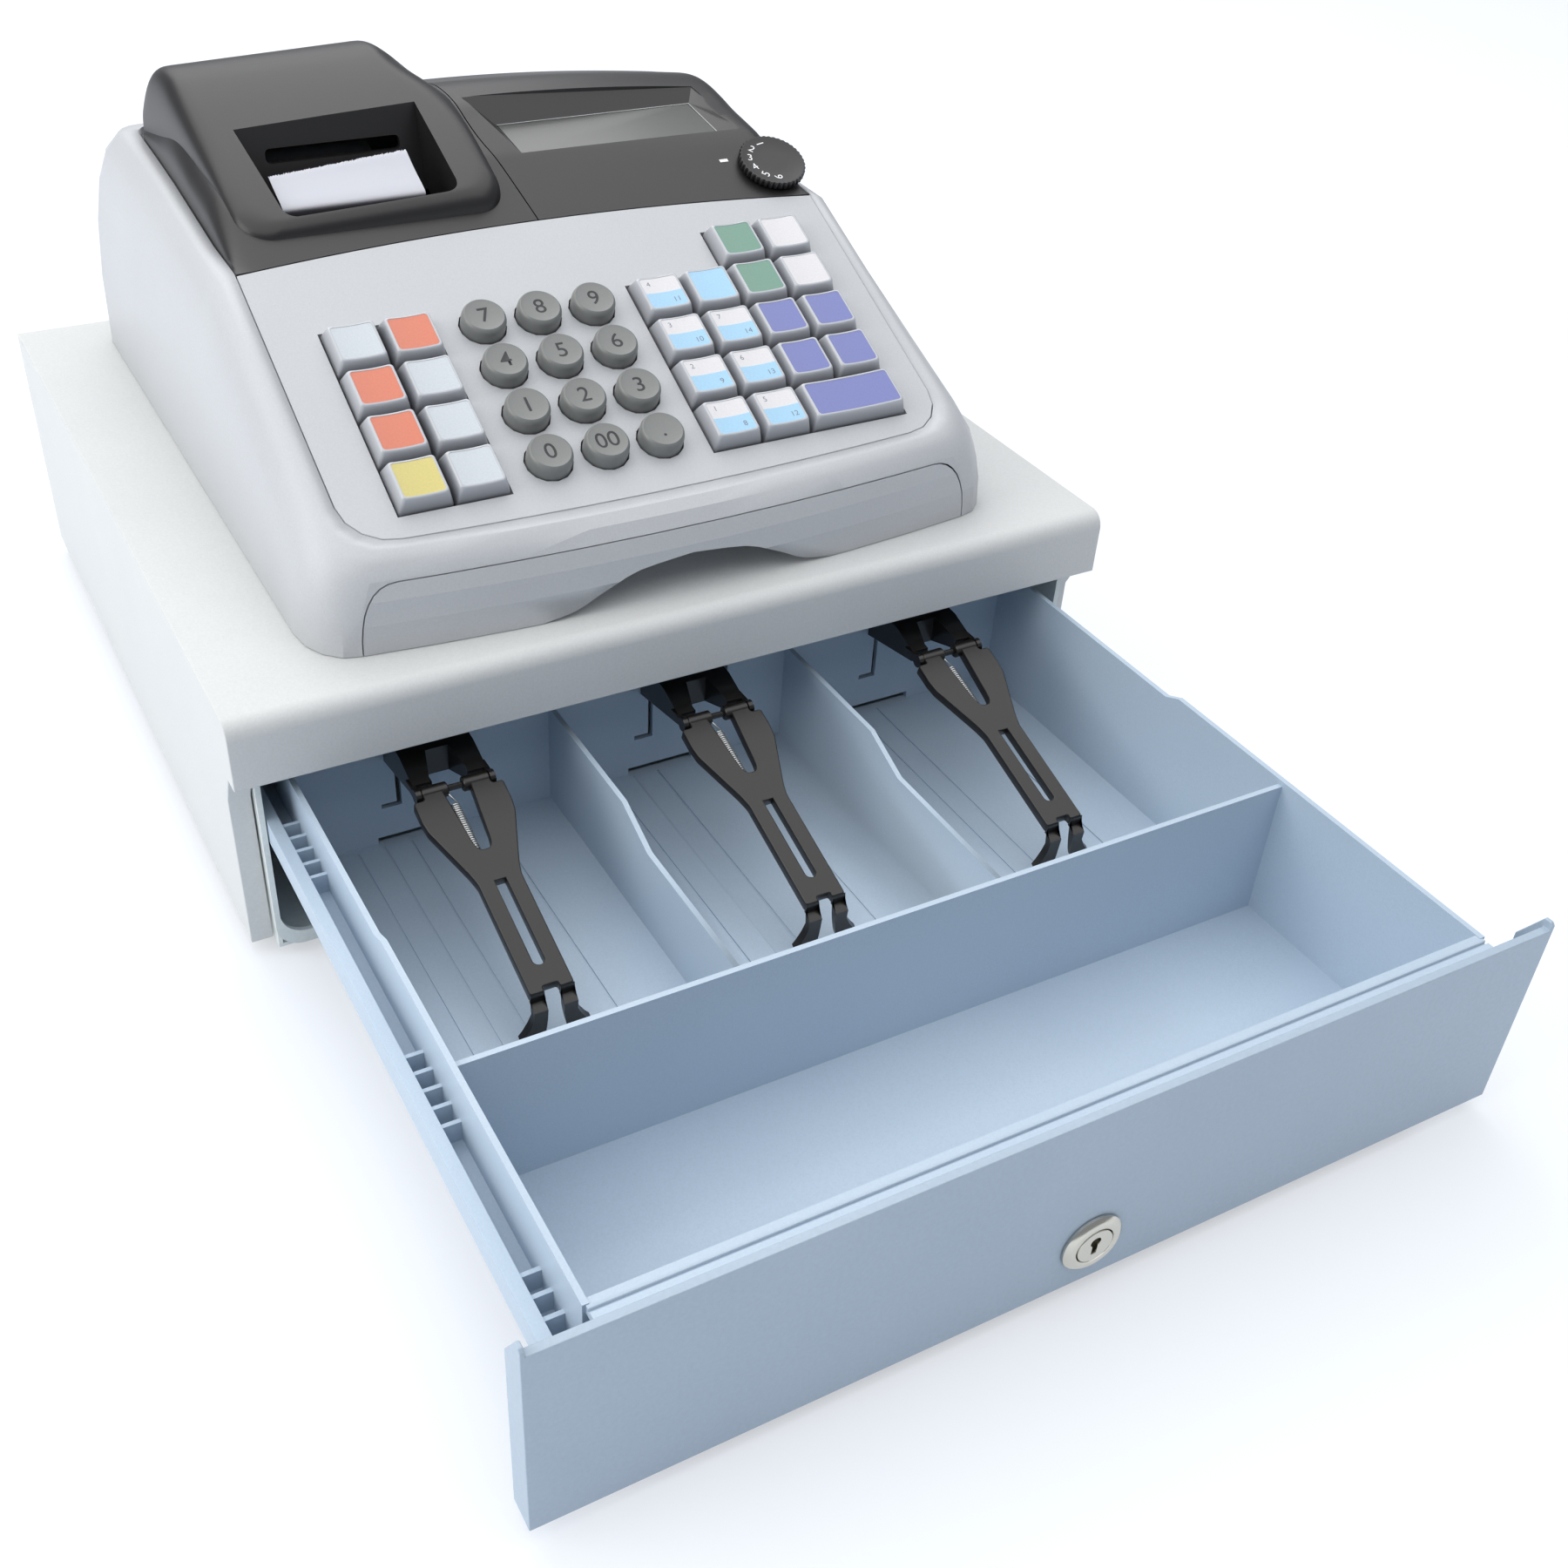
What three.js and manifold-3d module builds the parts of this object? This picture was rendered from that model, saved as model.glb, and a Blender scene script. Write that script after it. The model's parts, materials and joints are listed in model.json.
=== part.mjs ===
// Electronic cash register standing on its cash drawer, in millimetres: +X right, +Y back, +Z up.
// The origin is on the ground, under the middle of the object's box with the drawer pulled out.
// Cabinet heights are above the ground, register heights are above the cabinet's lid, and
// places across the depth count from the front of the cabinet's lip, or of the drawer's panel.
import * as THREE from "three";
import { mergeVertices } from "three/addons/utils/BufferGeometryUtils.js";
import Module from "manifold-3d";

const wasm = await Module();
wasm.setup();

// Clearances and cutting
const gap = 0.3; // between two pieces that touch or slide
const seam = 0.5; // seen between two casing parts
const overrun = 5; // how far a cutting body passes the face that it cuts
const weld = 0.001; // points closer than this are one
const smoothing = 0.004; // cut faces closer than this to flat become one
const stepsPerUnit = 1024; // points are rounded alike, so that faces meant to be level are level
const degree = Math.PI / 180;

// Cabinet cover: one folded steel sheet with a lip in front
const cabinet = {
  width: 360,
  depth: 350,
  height: 113,
  sheet: 1.5,
  lipDrop: 26.3,
  lipRadius: 6.5,
  sideSetback: 15,
  chamferStart: 8,
  chamferDrop: 40,
  sideDrop: 106,
};

// Cabinet base: pan, front frame with the drawer's opening, runners and feet
const base = {
  setback: 9,
  plate: 1.8,
  wall: 2,
  openingInset: 10.5,
  openingTopDrop: 28.5,
  openingBottomDrop: 102,
  openingRadius: 10,
  topDrop: 22,
  pan: 1.6,
  footHeight: 5.5,
  footRadius: 9,
  footInset: 32,
  runnerStart: 30,
  runnerWidth: 9,
  runnerThickness: 2,
};

// Drawer front: folded steel panel
const panel = {
  travel: 246.6,
  closedSetback: 2,
  sideClearance: 0.5,
  sheet: 1.5,
  topDrop: 29.8,
  bottomDrop: 106.5,
  hemDepth: 3,
  hemDrop: 7,
  bottomReturn: 6,
  sideReturn: 11,
  earDrop: 26.8,
  earDepth: 3.4,
  earSlopeDrop: 39,
};

// Cash tray: moulded floor, walls, dividers and runner rails
const tray = {
  wall: 2,
  floor: 2.5,
  floorDrop: 90.2,
  sideInset: 23,
  frontTop: 11.1,
  frontFoot: 22.6,
  stripThickness: 3,
  grooveWidth: 1.2,
  grooveDepth: 1.2,
  frontRimDrop: 32,
  rearRimDrop: 35,
  rimStepFront: 159.6,
  rimStepBack: 166.6,
  crossWall: 101.6,
  crossWallDrop: 34,
  backWall: 275.6,
  backWallDrop: 36,
  railEnd: 332.6,
  dividerDrop: 47,
  dividerLowDrop: 55.5,
  dividerStepBack: 209.6,
  dividerStepFront: 188.6,
  railDrop: 48,
  railWidth: 4.2,
  channelDrop: 56,
  channelFloor: 2,
  ribThickness: 1.5,
  ribPitch: 7.7,
  ribCount: 5,
  floorGroove: 1,
  floorGrooveDepth: 0.5,
  floorGroovePitch: 10.5,
};

// Places of a divider and of the outer clips: shares of the tray's half width
const trayShares = { divider: 0.3325, clips: 0.6707 };

// Grooves in the floor beside a clip: shares of their pitch
const grooveShares = [-2.67, -1.67, -0.67, 2.36];

// Slots in the tray's back wall beside each bill clip
const wallSlot = {
  offset: 8.4,
  width: 2,
  top: 47.8,
  bottom: 74,
  reach: 8,
  footHeight: 3,
  footReach: 19,
  window: 9,
};

// Drawer lock
const lock = {
  across: 4.4,
  drop: 87.8,
  bezelRadius: 11,
  proud: 2.5,
  barrelRadius: 9,
  barrelEnd: 11.5,
  plugRadius: 6.5,
  keyWidth: 2,
  keyHeight: 7,
  keyRadius: 1.9,
  keyDepth: 4,
  camThickness: 1.6,
  camLength: 13.7,
  camHalfWidth: 4.5,
};

// Bill clip: arm with two barrels, a V opening, a slot and a forked foot
const clip = {
  hinge: 238.2,
  hingeDrop: 43,
  slope: 17.9,
  length: 94,
  thickness: 4.2,
  shoulder: 33.6,
  shoulderStart: 3.7,
  shoulderEnd: 13,
  waist: 15.9,
  waistPlace: 41,
  vStart: 5,
  vWidth: 10.5,
  vEnd: 30,
  vEndWidth: 6,
  slotStart: 43,
  slotEnd: 79,
  slotWidth: 4.2,
  notchStart: 90,
  notchWidth: 5.8,
  barrelRadius: 2.8,
  barrelInner: 2.9,
  barrelLength: 9.7,
  pinRadius: 1.2,
  footHeight: 17.2,
  footThickness: 3,
  footFlare: 5,
};

// Foot of a clip: shares of its height where it flares and where it forks
const footShares = { flare: 0.45, fork: 0.7 };

// Bracket that carries a clip on the tray's back wall
const bracket = {
  width: 28,
  fingerWidth: 2,
  topRise: 7,
  frontRise: 1.5,
  depthBelow: 9,
  bodyStart: 4.5,
  notchWidth: 14,
  notchDepth: 13,
};

// Brow of a bracket and the front of its notch: shares of its reach, rise and notch width
const bracketShares = { brow: 0.45, browRise: 0.8, notchFront: 0.6 };

// Extension spring of a bill clip
const spring = {
  radius: 1.7,
  wire: 0.32,
  curls: 9,
  pitch: 3,
  start: 8,
  across: -2.6,
};
const springSteps = 8;
const springSides = 5;

// Register casing: a skirt from its outline on the lid up to a rim
const skirt = {
  halfWidth: 142.5,
  front: 14.2,
  frontBow: 8.1,
  cornerStart: 125,
  cornerEnd: 46,
  back: 338,
  backRadius: 14,
  wall: 2.5,
  rimHalf: 122.2,
  rimBow: 2.5,
  rimRadius: 18.5,
  rimBack: 298.3,
  rimBackRadius: 9,
  ledge: 6,
  ledgeThickness: 2.2,
  glandRadius: 7,
  glandLength: 8,
  glandBore: 3.5,
  glandAcross: 96,
  glandHeight: 16,
};
const shoulderPower = 2.3;
const shoulderSteps = 6;
const innerSteps = 4;

// Sloping keyboard panel
const board = {
  tilt: 25,
  back: 151.1,
  rise: 90.3,
  length: 129.4,
  thickness: 2.5,
  edgeSag: 1.3,
  crownSag: 5.5,
  wellDepth: 8,
  wellWall: 1.8,
  guide: 2,
  pillarRadius: 3,
};

// Keys
const keys = {
  pitch: 21.4,
  base: 20.4,
  topWidth: 17.2,
  topLength: 16.8,
  proud: 6.3,
  skirt: 4.4,
  dish: 0.7,
  stemRadius: 2,
  stemLength: 9.5,
  travel: 3,
  bottomRow: 109.25,
  leftColumn: -91.5,
  rightColumn: 32.2,
  wellMargin: 0.7,
  roundPitchAcross: 22.5,
  roundPitchAlong: 22.2,
  roundMiddle: -18.9,
  roundRadius: 8.6,
  roundTopRadius: 7.6,
  roundHole: 9.3,
  roundEdge: 1.8,
};

const stemSides = 6;
const roundSides = 14;

// Dark top covers
const top = {
  rimRise: 102,
  crestRise: 122.8,
  crownDrop: 8,
  shoulder: 12,
  wall: 2.5,
  planeEnd: 190,
  seamFront: 0.7,
  seamBack: -8.5,
  hingeBack: 4,
  backCorner: 12,
  knuckleRadius: 2.6,
  knuckleBore: 1.5,
  knuckleLength: 8,
  knuckleInset: 14,
  pinRadius: 1.2,
  earWidth: 2.3,
};
// Rim behind the keyboard: shares of its run and of its rise
const rimShares = [[0, 0], [0.227, 0.11], [0.479, 0.54], [0.739, 0.82], [1, 1]];
// Crown behind the plane: shares of the run to the back and of the rise to the crest
const crownShares = [[0, 0], [0.2, 0.575], [0.28, 0.81], [0.33, 0.905], [0.39, 0.98], [0.46, 1],
  [0.54, 0.925], [0.63, 0.76], [0.72, 0.6], [0.9, 0.225], [1, -0.354]];
// Where the crown starts to sink sideways, and sinks in full: shares of the run to the back
const crownBlendShares = [-0.1, 0.33];
// Seam between the two covers: shares of the run and of its way across
const seamShares = [[0, 0], [0.2, 0.4], [0.32, 0.73], [0.48, 0.89], [0.58, 1], [1, 1.1]];

// Printer hump and its window
const hump = {
  front: 163.3,
  left: -113.8,
  leftBack: -120.6,
  right: -8.2,
  cornerRun: 12,
  frontRise: 101,
  crestRise: 136,
  fall: 4.2,
  leftRound: 10,
  rightRound: 10,
  rightRoundBack: 24,
  frontRound: 5,
  embed: 1.5,
  windowLeft: -98,
  windowRight: -26.5,
  windowFront: 167.6,
  windowBack: 216.8,
  windowCorner: 4,
  pocketFront: 170.5,
  pocketBack: 207,
  pocketRise: 91,
  slotLeft: -90,
  slotRight: -35,
  slotBottom: 108,
  slotTop: 113.4,
  paperSlot: 2.4,
};
// Hump's profile: shares of its run and of its rise from the front edge to the crest
const humpShares = [[0, 0], [0.035, 0.07], [0.4, 0.62], [0.62, 0.93], [0.7, 1], [0.8, 0.97],
  [0.89, 0.82], [0.96, 0.46], [1, 0.02]];
// Where the right side starts to slope instead of standing up, and slopes in full: shares of the run
const humpSlopeShares = [0.25, 0.65];
// How straight the slope is: 1 is the rounding of the other sides, and less is straighter
const humpSlopePower = 0.35;

// Receipt paper and its roll
const paper = {
  left: -94.8,
  width: 57,
  thickness: 0.4,
  place: 188,
  bottom: 84,
  torn: 112.6,
  slant: 2.8,
  toothWidth: 5.7,
  toothHeight: 0.5,
  rollRadius: 26,
  coreRadius: 8,
  rollPlace: 250,
  rollRise: 64,
};

// How the paper bows forward and curls back: heights above its lower end, and how far back each place lies
const paperCurl = [[0, 0], [6.8, 0], [10, -3.5], [14.5, -8.5], [17.5, -10.8], [19.5, -8], [21.5, -3.3],
  [24.6, 3.3], [28.6, 10.2]];

// Printer frame with its paper bin
const printer = {
  left: -103,
  right: -13,
  front: 182,
  back: 216,
  rise: 46,
  topRise: 82,
  wall: 2.5,
  binWall: 2,
  postRadius: 5,
  platenRadius: 6,
  exit: 6,
};

// Display
const display = {
  left: 8.5,
  right: 98.5,
  front: 190,
  back: 218.3,
  frontRise: 107,
  backRise: 111.2,
  recessBack: 226,
  recessLeftBack: -3.5,
  recessRight: 109,
  recessRightBack: 103.5,
  recessBackRise: 121.8,
  recessRightBackRise: 115.5,
  thickness: 5,
  flange: 4,
};

// Mode dial
const dial = {
  across: 111.7,
  along: 17.6,
  radius: 14.5,
  height: 3.2,
  lift: 0.7,
  teeth: 32,
  toothDepth: 0.5,
  shaftRadius: 3,
  shaftLength: 12,
  shaftHole: 3.6,
};

// Bottom case: base plate, front apron and the arch for the fingers
const bottom = {
  plate: 2.5,
  apronHalf: 125.3,
  apronTopHalf: 110,
  apronRise: 25.7,
  apronCut: 60,
  archHalf: 62,
  archRise: 16,
  archDepth: 50,
  archWall: 2,
};
// Arch: shares of its half width and of its rise
const archShares = [[0, 1], [0.35, 0.86], [0.58, 0.52], [0.77, 0.17], [1, 0]];

// Circuit board under the keyboard
const circuit = {
  thickness: 1.6,
  halfWidth: 108,
  front: 124,
  back: 8,
};

// Joining and cutting

// A closed geometry as a solid.
function solid(geometry) {
  const plain = geometry.clone();
  plain.deleteAttribute("normal");
  plain.deleteAttribute("uv");
  const places = plain.attributes.position.array;
  places.forEach((value, i) => { places[i] = Math.round(value * stepsPerUnit) / stepsPerUnit; });
  const merged = mergeVertices(plain, weld);
  return new wasm.Manifold(new wasm.Mesh({
    numProp: 3,
    vertProperties: merged.attributes.position.array,
    triVerts: new Uint32Array(merged.index.array),
  }));
}

function join(...bodies) {
  return bodies.flat().reduce((whole, body) => whole.add(body));
}

function cut(body, ...tools) {
  return tools.flat().reduce((rest, tool) => rest.subtract(tool), body);
}

// A solid as a geometry for a mesh, with flat faces.
function geometryOf(body) {
  const mesh = body.simplify(smoothing).getMesh();
  const places = new Float32Array(mesh.numVert * 3);
  for (let i = 0; i < mesh.numVert; i++) {
    const start = i * mesh.numProp;
    places.set(mesh.vertProperties.subarray(start, start + 3), i * 3);
  }
  const geometry = new THREE.BufferGeometry();
  geometry.setAttribute("position", new THREE.BufferAttribute(places, 3));
  geometry.setIndex(new THREE.BufferAttribute(new Uint32Array(mesh.triVerts), 1));
  const flat = geometry.toNonIndexed();
  flat.computeVertexNormals();
  return flat;
}

// Simple bodies

function box(x0, x1, y0, y1, z0, z1) {
  const geometry = new THREE.BoxGeometry(x1 - x0, y1 - y0, z1 - z0);
  geometry.translate((x0 + x1) / 2, (y0 + y1) / 2, (z0 + z1) / 2);
  return solid(geometry);
}

// The same box on both sides of the middle plane.
function pairOfBoxes(x0, x1, y0, y1, z0, z1) {
  return join(box(x0, x1, y0, y1, z0, z1), box(-x1, -x0, y0, y1, z0, z1));
}

function shapeOf(outline) {
  if (!Array.isArray(outline)) return outline;
  return new THREE.Shape(outline.map(([u, v]) => new THREE.Vector2(u, v)));
}

function extruded(outline, length, curveSegments = 6) {
  return new THREE.ExtrudeGeometry(shapeOf(outline), { depth: length, bevelEnabled: false, curveSegments });
}

// Outline in (y, z), drawn out along X.
function alongX(outline, x0, x1, curveSegments) {
  const geometry = extruded(outline, x1 - x0, curveSegments);
  const turn = new THREE.Matrix4().makeBasis(
    new THREE.Vector3(0, 1, 0), new THREE.Vector3(0, 0, 1), new THREE.Vector3(1, 0, 0));
  geometry.applyMatrix4(turn);
  geometry.translate(x0, 0, 0);
  return solid(geometry);
}

// Outline in (x, z), drawn out along Y.
function alongY(outline, y0, y1, curveSegments) {
  const geometry = extruded(outline, y1 - y0, curveSegments);
  geometry.rotateX(Math.PI / 2);
  geometry.translate(0, y1, 0);
  return solid(geometry);
}

// Outline in (x, y), drawn out along Z.
function alongZ(outline, z0, z1, curveSegments) {
  const geometry = extruded(outline, z1 - z0, curveSegments);
  geometry.translate(0, 0, z0);
  return solid(geometry);
}

// Rectangle with round corners; radii go round from the low corner against the clock.
function rounded(u0, u1, v0, v1, radius, lowOnly = false) {
  const shape = new THREE.Shape();
  shape.moveTo(u0 + radius, v0);
  shape.lineTo(u1 - radius, v0);
  shape.absarc(u1 - radius, v0 + radius, radius, -Math.PI / 2, 0, false);
  if (lowOnly) {
    shape.lineTo(u1, v1);
    shape.lineTo(u0, v1);
  } else {
    shape.lineTo(u1, v1 - radius);
    shape.absarc(u1 - radius, v1 - radius, radius, 0, Math.PI / 2, false);
    shape.lineTo(u0 + radius, v1);
    shape.absarc(u0 + radius, v1 - radius, radius, Math.PI / 2, Math.PI, false);
  }
  shape.lineTo(u0, v0 + radius);
  shape.absarc(u0 + radius, v0 + radius, radius, Math.PI, 1.5 * Math.PI, false);
  return shape;
}

// Round bar along X, Y or Z between two places on its axis.
function roundBar(axis, radius, from, to, u, v, sides = 16) {
  const geometry = new THREE.CylinderGeometry(radius, radius, to - from, sides);
  const middle = (from + to) / 2;
  if (axis === "x") {
    geometry.rotateZ(-Math.PI / 2);
    geometry.translate(middle, u, v);
  } else if (axis === "y") {
    geometry.translate(u, middle, v);
  } else {
    geometry.rotateX(Math.PI / 2);
    geometry.translate(u, v, middle);
  }
  return solid(geometry);
}

// Smooth value between the rows of a table of [place, value].
function smooth(table, place) {
  const last = table.length - 1;
  if (place <= table[0][0]) return table[0][1];
  if (place >= table[last][0]) return table[last][1];
  let i = 0;
  while (place > table[i + 1][0]) i++;
  const slope = (a, b) => (table[b][1] - table[a][1]) / (table[b][0] - table[a][0]);
  const run = table[i + 1][0] - table[i][0];
  const t = (place - table[i][0]) / run;
  const start = i > 0 ? slope(i - 1, i + 1) : slope(i, i + 1);
  const end = i + 2 <= last ? slope(i, i + 2) : slope(i, i + 1);
  const blend = t * t * (3 - 2 * t);
  const ease = run * (start * t * (1 - t) ** 2 - end * t * t * (1 - t));
  return table[i][1] + blend * (table[i + 1][1] - table[i][1]) + ease;
}

// Rings of points joined into one body. Each ring lists one side from its first pair to its last,
// then the other side back, and the two caps are strips between the pairs.
function ringSolid(rings) {
  const count = rings[0].length;
  const places = rings.flat().flatMap((point) => [point.x, point.y, point.z]);
  const faces = [];
  for (let r = 0; r + 1 < rings.length; r++) {
    for (let i = 0; i < count; i++) {
      const a = r * count + i;
      const b = r * count + ((i + 1) % count);
      faces.push(a, b, b + count, a, b + count, a + count);
    }
  }
  const lastRing = (rings.length - 1) * count;
  for (let i = 0; i + 1 < count / 2; i++) {
    const pair = [i, i + 1, count - 2 - i, count - 1 - i];
    const [a, b, c, d] = pair.map((place) => place + lastRing);
    faces.push(a, b, c, a, c, d);
    faces.push(pair[2], pair[1], pair[0], pair[3], pair[2], pair[0]);
  }
  return solid(indexed(places, faces));
}

function indexed(places, faces) {
  const geometry = new THREE.BufferGeometry();
  geometry.setAttribute("position", new THREE.Float32BufferAttribute(places, 3));
  geometry.setIndex(faces);
  return geometry;
}

// Body between two faces over a grid: point(u, v, face) gives [x, y, z], and face 0 looks outwards.
function gridSolid(us, vs, point) {
  const places = [0, 1].flatMap((face) => vs.flatMap((v) => us.flatMap((u) => point(u, v, face))));
  const wide = us.length;
  const layer = wide * vs.length;
  const faces = [];
  const quad = (a, b, c, d) => faces.push(a, b, c, a, c, d);
  for (let j = 0; j + 1 < vs.length; j++) {
    for (let i = 0; i + 1 < wide; i++) {
      const a = j * wide + i;
      quad(a, a + 1, a + 1 + wide, a + wide);
      quad(a + layer, a + wide + layer, a + 1 + wide + layer, a + 1 + layer);
    }
  }
  const edge = [];
  for (let i = 0; i < wide; i++) edge.push(i);
  for (let j = 1; j < vs.length; j++) edge.push(j * wide + wide - 1);
  for (let i = wide - 2; i >= 0; i--) edge.push((vs.length - 1) * wide + i);
  for (let j = vs.length - 2; j > 0; j--) edge.push(j * wide);
  edge.forEach((a, i) => {
    const b = edge[(i + 1) % edge.length];
    quad(a + layer, b + layer, b, a);
  });
  return solid(indexed(places, faces));
}

// Two places across, on the left or the right side, from low to high.
function sideways(side, near, far) {
  return side < 0 ? [-far, -near] : [near, far];
}

function mix(a, b, share) {
  return a + (b - a) * share;
}

function rangeOf(count) {
  return Array.from({ length: count }, (_, i) => i);
}

// Cabinet

const lid = cabinet.height;
const cabinetHalf = cabinet.width / 2;
const openingHalf = cabinetHalf - base.openingInset;
const frameHalf = openingHalf + base.wall;

function coverSide(inset, lowering) {
  const floor = lid - cabinet.sideDrop - lowering;
  const lip = lid - cabinet.lipDrop + inset;
  const radius = cabinet.lipRadius - inset;
  const shape = new THREE.Shape();
  shape.moveTo(inset, lip);
  shape.lineTo(cabinet.chamferStart + inset, lip);
  shape.lineTo(cabinet.sideSetback + inset, lid - cabinet.chamferDrop + inset);
  shape.lineTo(cabinet.sideSetback + inset, floor);
  shape.lineTo(cabinet.depth - inset, floor);
  shape.lineTo(cabinet.depth - inset, lid - inset);
  shape.lineTo(cabinet.lipRadius, lid - inset);
  shape.absarc(cabinet.lipRadius, lid - cabinet.lipRadius, radius, Math.PI / 2, Math.PI, false);
  return shape;
}

function cabinetCover() {
  const { sheet } = cabinet;
  const outer = alongX(coverSide(0, 0), -cabinetHalf, cabinetHalf);
  const inner = alongX(coverSide(sheet, overrun), sheet - cabinetHalf, cabinetHalf - sheet);
  const mouthHalf = frameHalf + gap;
  const mouth = box(-mouthHalf, mouthHalf, sheet, cabinet.sideSetback + sheet + overrun,
    lid - cabinet.sideDrop - overrun, lid - cabinet.lipDrop + 2 * sheet);
  return cut(outer, inner, mouth);
}

const panBottom = base.footHeight;
const baseBack = cabinet.depth - cabinet.sheet - gap;
const railUnderside = lid - tray.channelDrop - tray.channelFloor;

function cabinetBase() {
  const front = base.setback;
  const wallTop = lid - base.topDrop;
  const plate = alongY(rounded(-frameHalf, frameHalf, panBottom, wallTop, base.openingRadius, true),
    front, front + base.plate);
  const opening = alongY(rounded(-openingHalf, openingHalf, lid - base.openingBottomDrop,
    lid - base.openingTopDrop, base.openingRadius, true), front - overrun, front + base.plate);
  const tubHalf = frameHalf - gap;
  const tubInner = openingHalf + gap / 2;
  const tub = cut(
    box(-tubHalf, tubHalf, front + base.plate / 2, baseBack, panBottom + gap, wallTop - gap),
    box(-tubInner, tubInner, front - overrun, baseBack - base.wall, panBottom + base.pan, wallTop + overrun));
  const runnerTop = railUnderside - gap;
  const runnerInner = openingHalf - base.runnerWidth;
  const runnerEnd = baseBack - base.wall / 2;
  const runners = pairOfBoxes(runnerInner, openingHalf + base.wall / 2, base.runnerStart, runnerEnd,
    runnerTop - base.runnerThickness, runnerTop);
  const guideBottom = lid - tray.railDrop + gap;
  const guides = pairOfBoxes(openingHalf - tray.railWidth, openingHalf + base.wall / 2, base.runnerStart,
    runnerEnd, guideBottom, guideBottom + base.runnerThickness);
  const feet = [];
  for (const x of [-1, 1]) {
    for (const y of [base.setback + base.footInset, cabinet.depth - base.footInset]) {
      feet.push(roundBar("z", base.footRadius, 0, panBottom + base.pan / 2,
        x * (frameHalf - base.footInset), y, 20));
    }
  }
  return join(cut(plate, opening), tub, runners, guides, feet);
}

// Drawer, with its depths counted from the panel's front face

const panelHalf = cabinetHalf - panel.sideClearance;
const panelBottom = lid - panel.bottomDrop;
const panelTop = lid - panel.topDrop;
const lockHeight = lid - lock.drop;

function drawerFront() {
  const { sheet } = panel;
  const sheetOutline = [
    [0, panelBottom],
    [panel.bottomReturn, panelBottom],
    [panel.bottomReturn, panelBottom + sheet],
    [sheet, panelBottom + sheet],
    [sheet, panelTop - sheet],
    [panel.hemDepth - sheet / 2, panelTop - sheet],
    [panel.hemDepth - sheet / 2, panelTop - panel.hemDrop],
    [panel.hemDepth, panelTop - panel.hemDrop],
    [panel.hemDepth, panelTop],
    [0, panelTop],
  ];
  const folded = alongX(sheetOutline, sheet - panelHalf, panelHalf - sheet);
  const sideOutline = [
    [0, panelBottom],
    [panel.sideReturn, panelBottom],
    [panel.sideReturn, lid - panel.earSlopeDrop],
    [panel.earDepth, lid - panel.earDrop],
    [panel.earDepth / 3, lid - panel.earDrop],
    [0, lid - panel.earDrop - panel.earDepth / 3],
  ];
  const left = alongX(sideOutline, -panelHalf, sheet - panelHalf);
  const right = alongX(sideOutline, panelHalf - sheet, panelHalf);
  const hole = roundBar("y", lock.barrelRadius + gap, -overrun, sheet + overrun, lock.across, lockHeight, 24);
  return cut(join(folded, left, right), hole);
}

const trayHalf = cabinet.width / 2 - tray.sideInset;
const wallHalf = trayHalf + tray.wall;
const railHalf = openingHalf - gap - gap / 2;
const trayFloor = lid - tray.floorDrop;
const trayBottom = trayFloor - tray.floor;
const wallFoot = trayFloor - tray.floor / 2;
const wallReach = trayHalf + tray.wall / 2;
const stripFront = panel.hemDepth + gap;
const clipSpacing = trayHalf * trayShares.clips;
const clipPlaces = [-clipSpacing, 0, clipSpacing];

function traySideWall(x0, x1) {
  const outline = [
    [tray.frontTop - tray.wall, wallFoot],
    [tray.railEnd, wallFoot],
    [tray.railEnd, lid - tray.rearRimDrop],
    [tray.rimStepBack, lid - tray.rearRimDrop],
    [tray.rimStepFront, lid - tray.frontRimDrop],
    [tray.frontTop - tray.wall, lid - tray.frontRimDrop],
  ];
  return alongX(outline, x0, x1);
}

function trayFrontWall() {
  const rim = lid - tray.frontRimDrop - gap;
  const stripBottom = rim - tray.stripThickness;
  const slant = mix(tray.frontTop, tray.frontFoot, tray.stripThickness / (rim - wallFoot)) - tray.wall;
  const wall = alongX([
    [tray.frontFoot - tray.wall, wallFoot],
    [tray.frontFoot, wallFoot],
    [tray.frontFoot, trayFloor],
    [tray.frontTop, rim],
    [stripFront, rim],
    [stripFront, stripBottom],
    [slant, stripBottom],
  ], -wallReach, wallReach);
  const grooveMiddle = (stripFront + tray.frontTop) / 2;
  const groove = box(-wallReach - overrun, wallReach + overrun, grooveMiddle - tray.grooveWidth / 2,
    grooveMiddle + tray.grooveWidth / 2, rim - tray.grooveDepth, rim + overrun);
  return cut(wall, groove);
}

function trayDivider(x) {
  const outline = [
    [tray.crossWall + tray.wall / 2, wallFoot],
    [tray.backWall + tray.wall / 2, wallFoot],
    [tray.backWall + tray.wall / 2, lid - tray.dividerDrop],
    [tray.dividerStepBack, lid - tray.dividerDrop],
    [tray.dividerStepFront, lid - tray.dividerLowDrop],
    [tray.crossWall + tray.wall / 2, lid - tray.dividerLowDrop],
  ];
  return alongX(outline, x - tray.wall / 2, x + tray.wall / 2);
}

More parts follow.
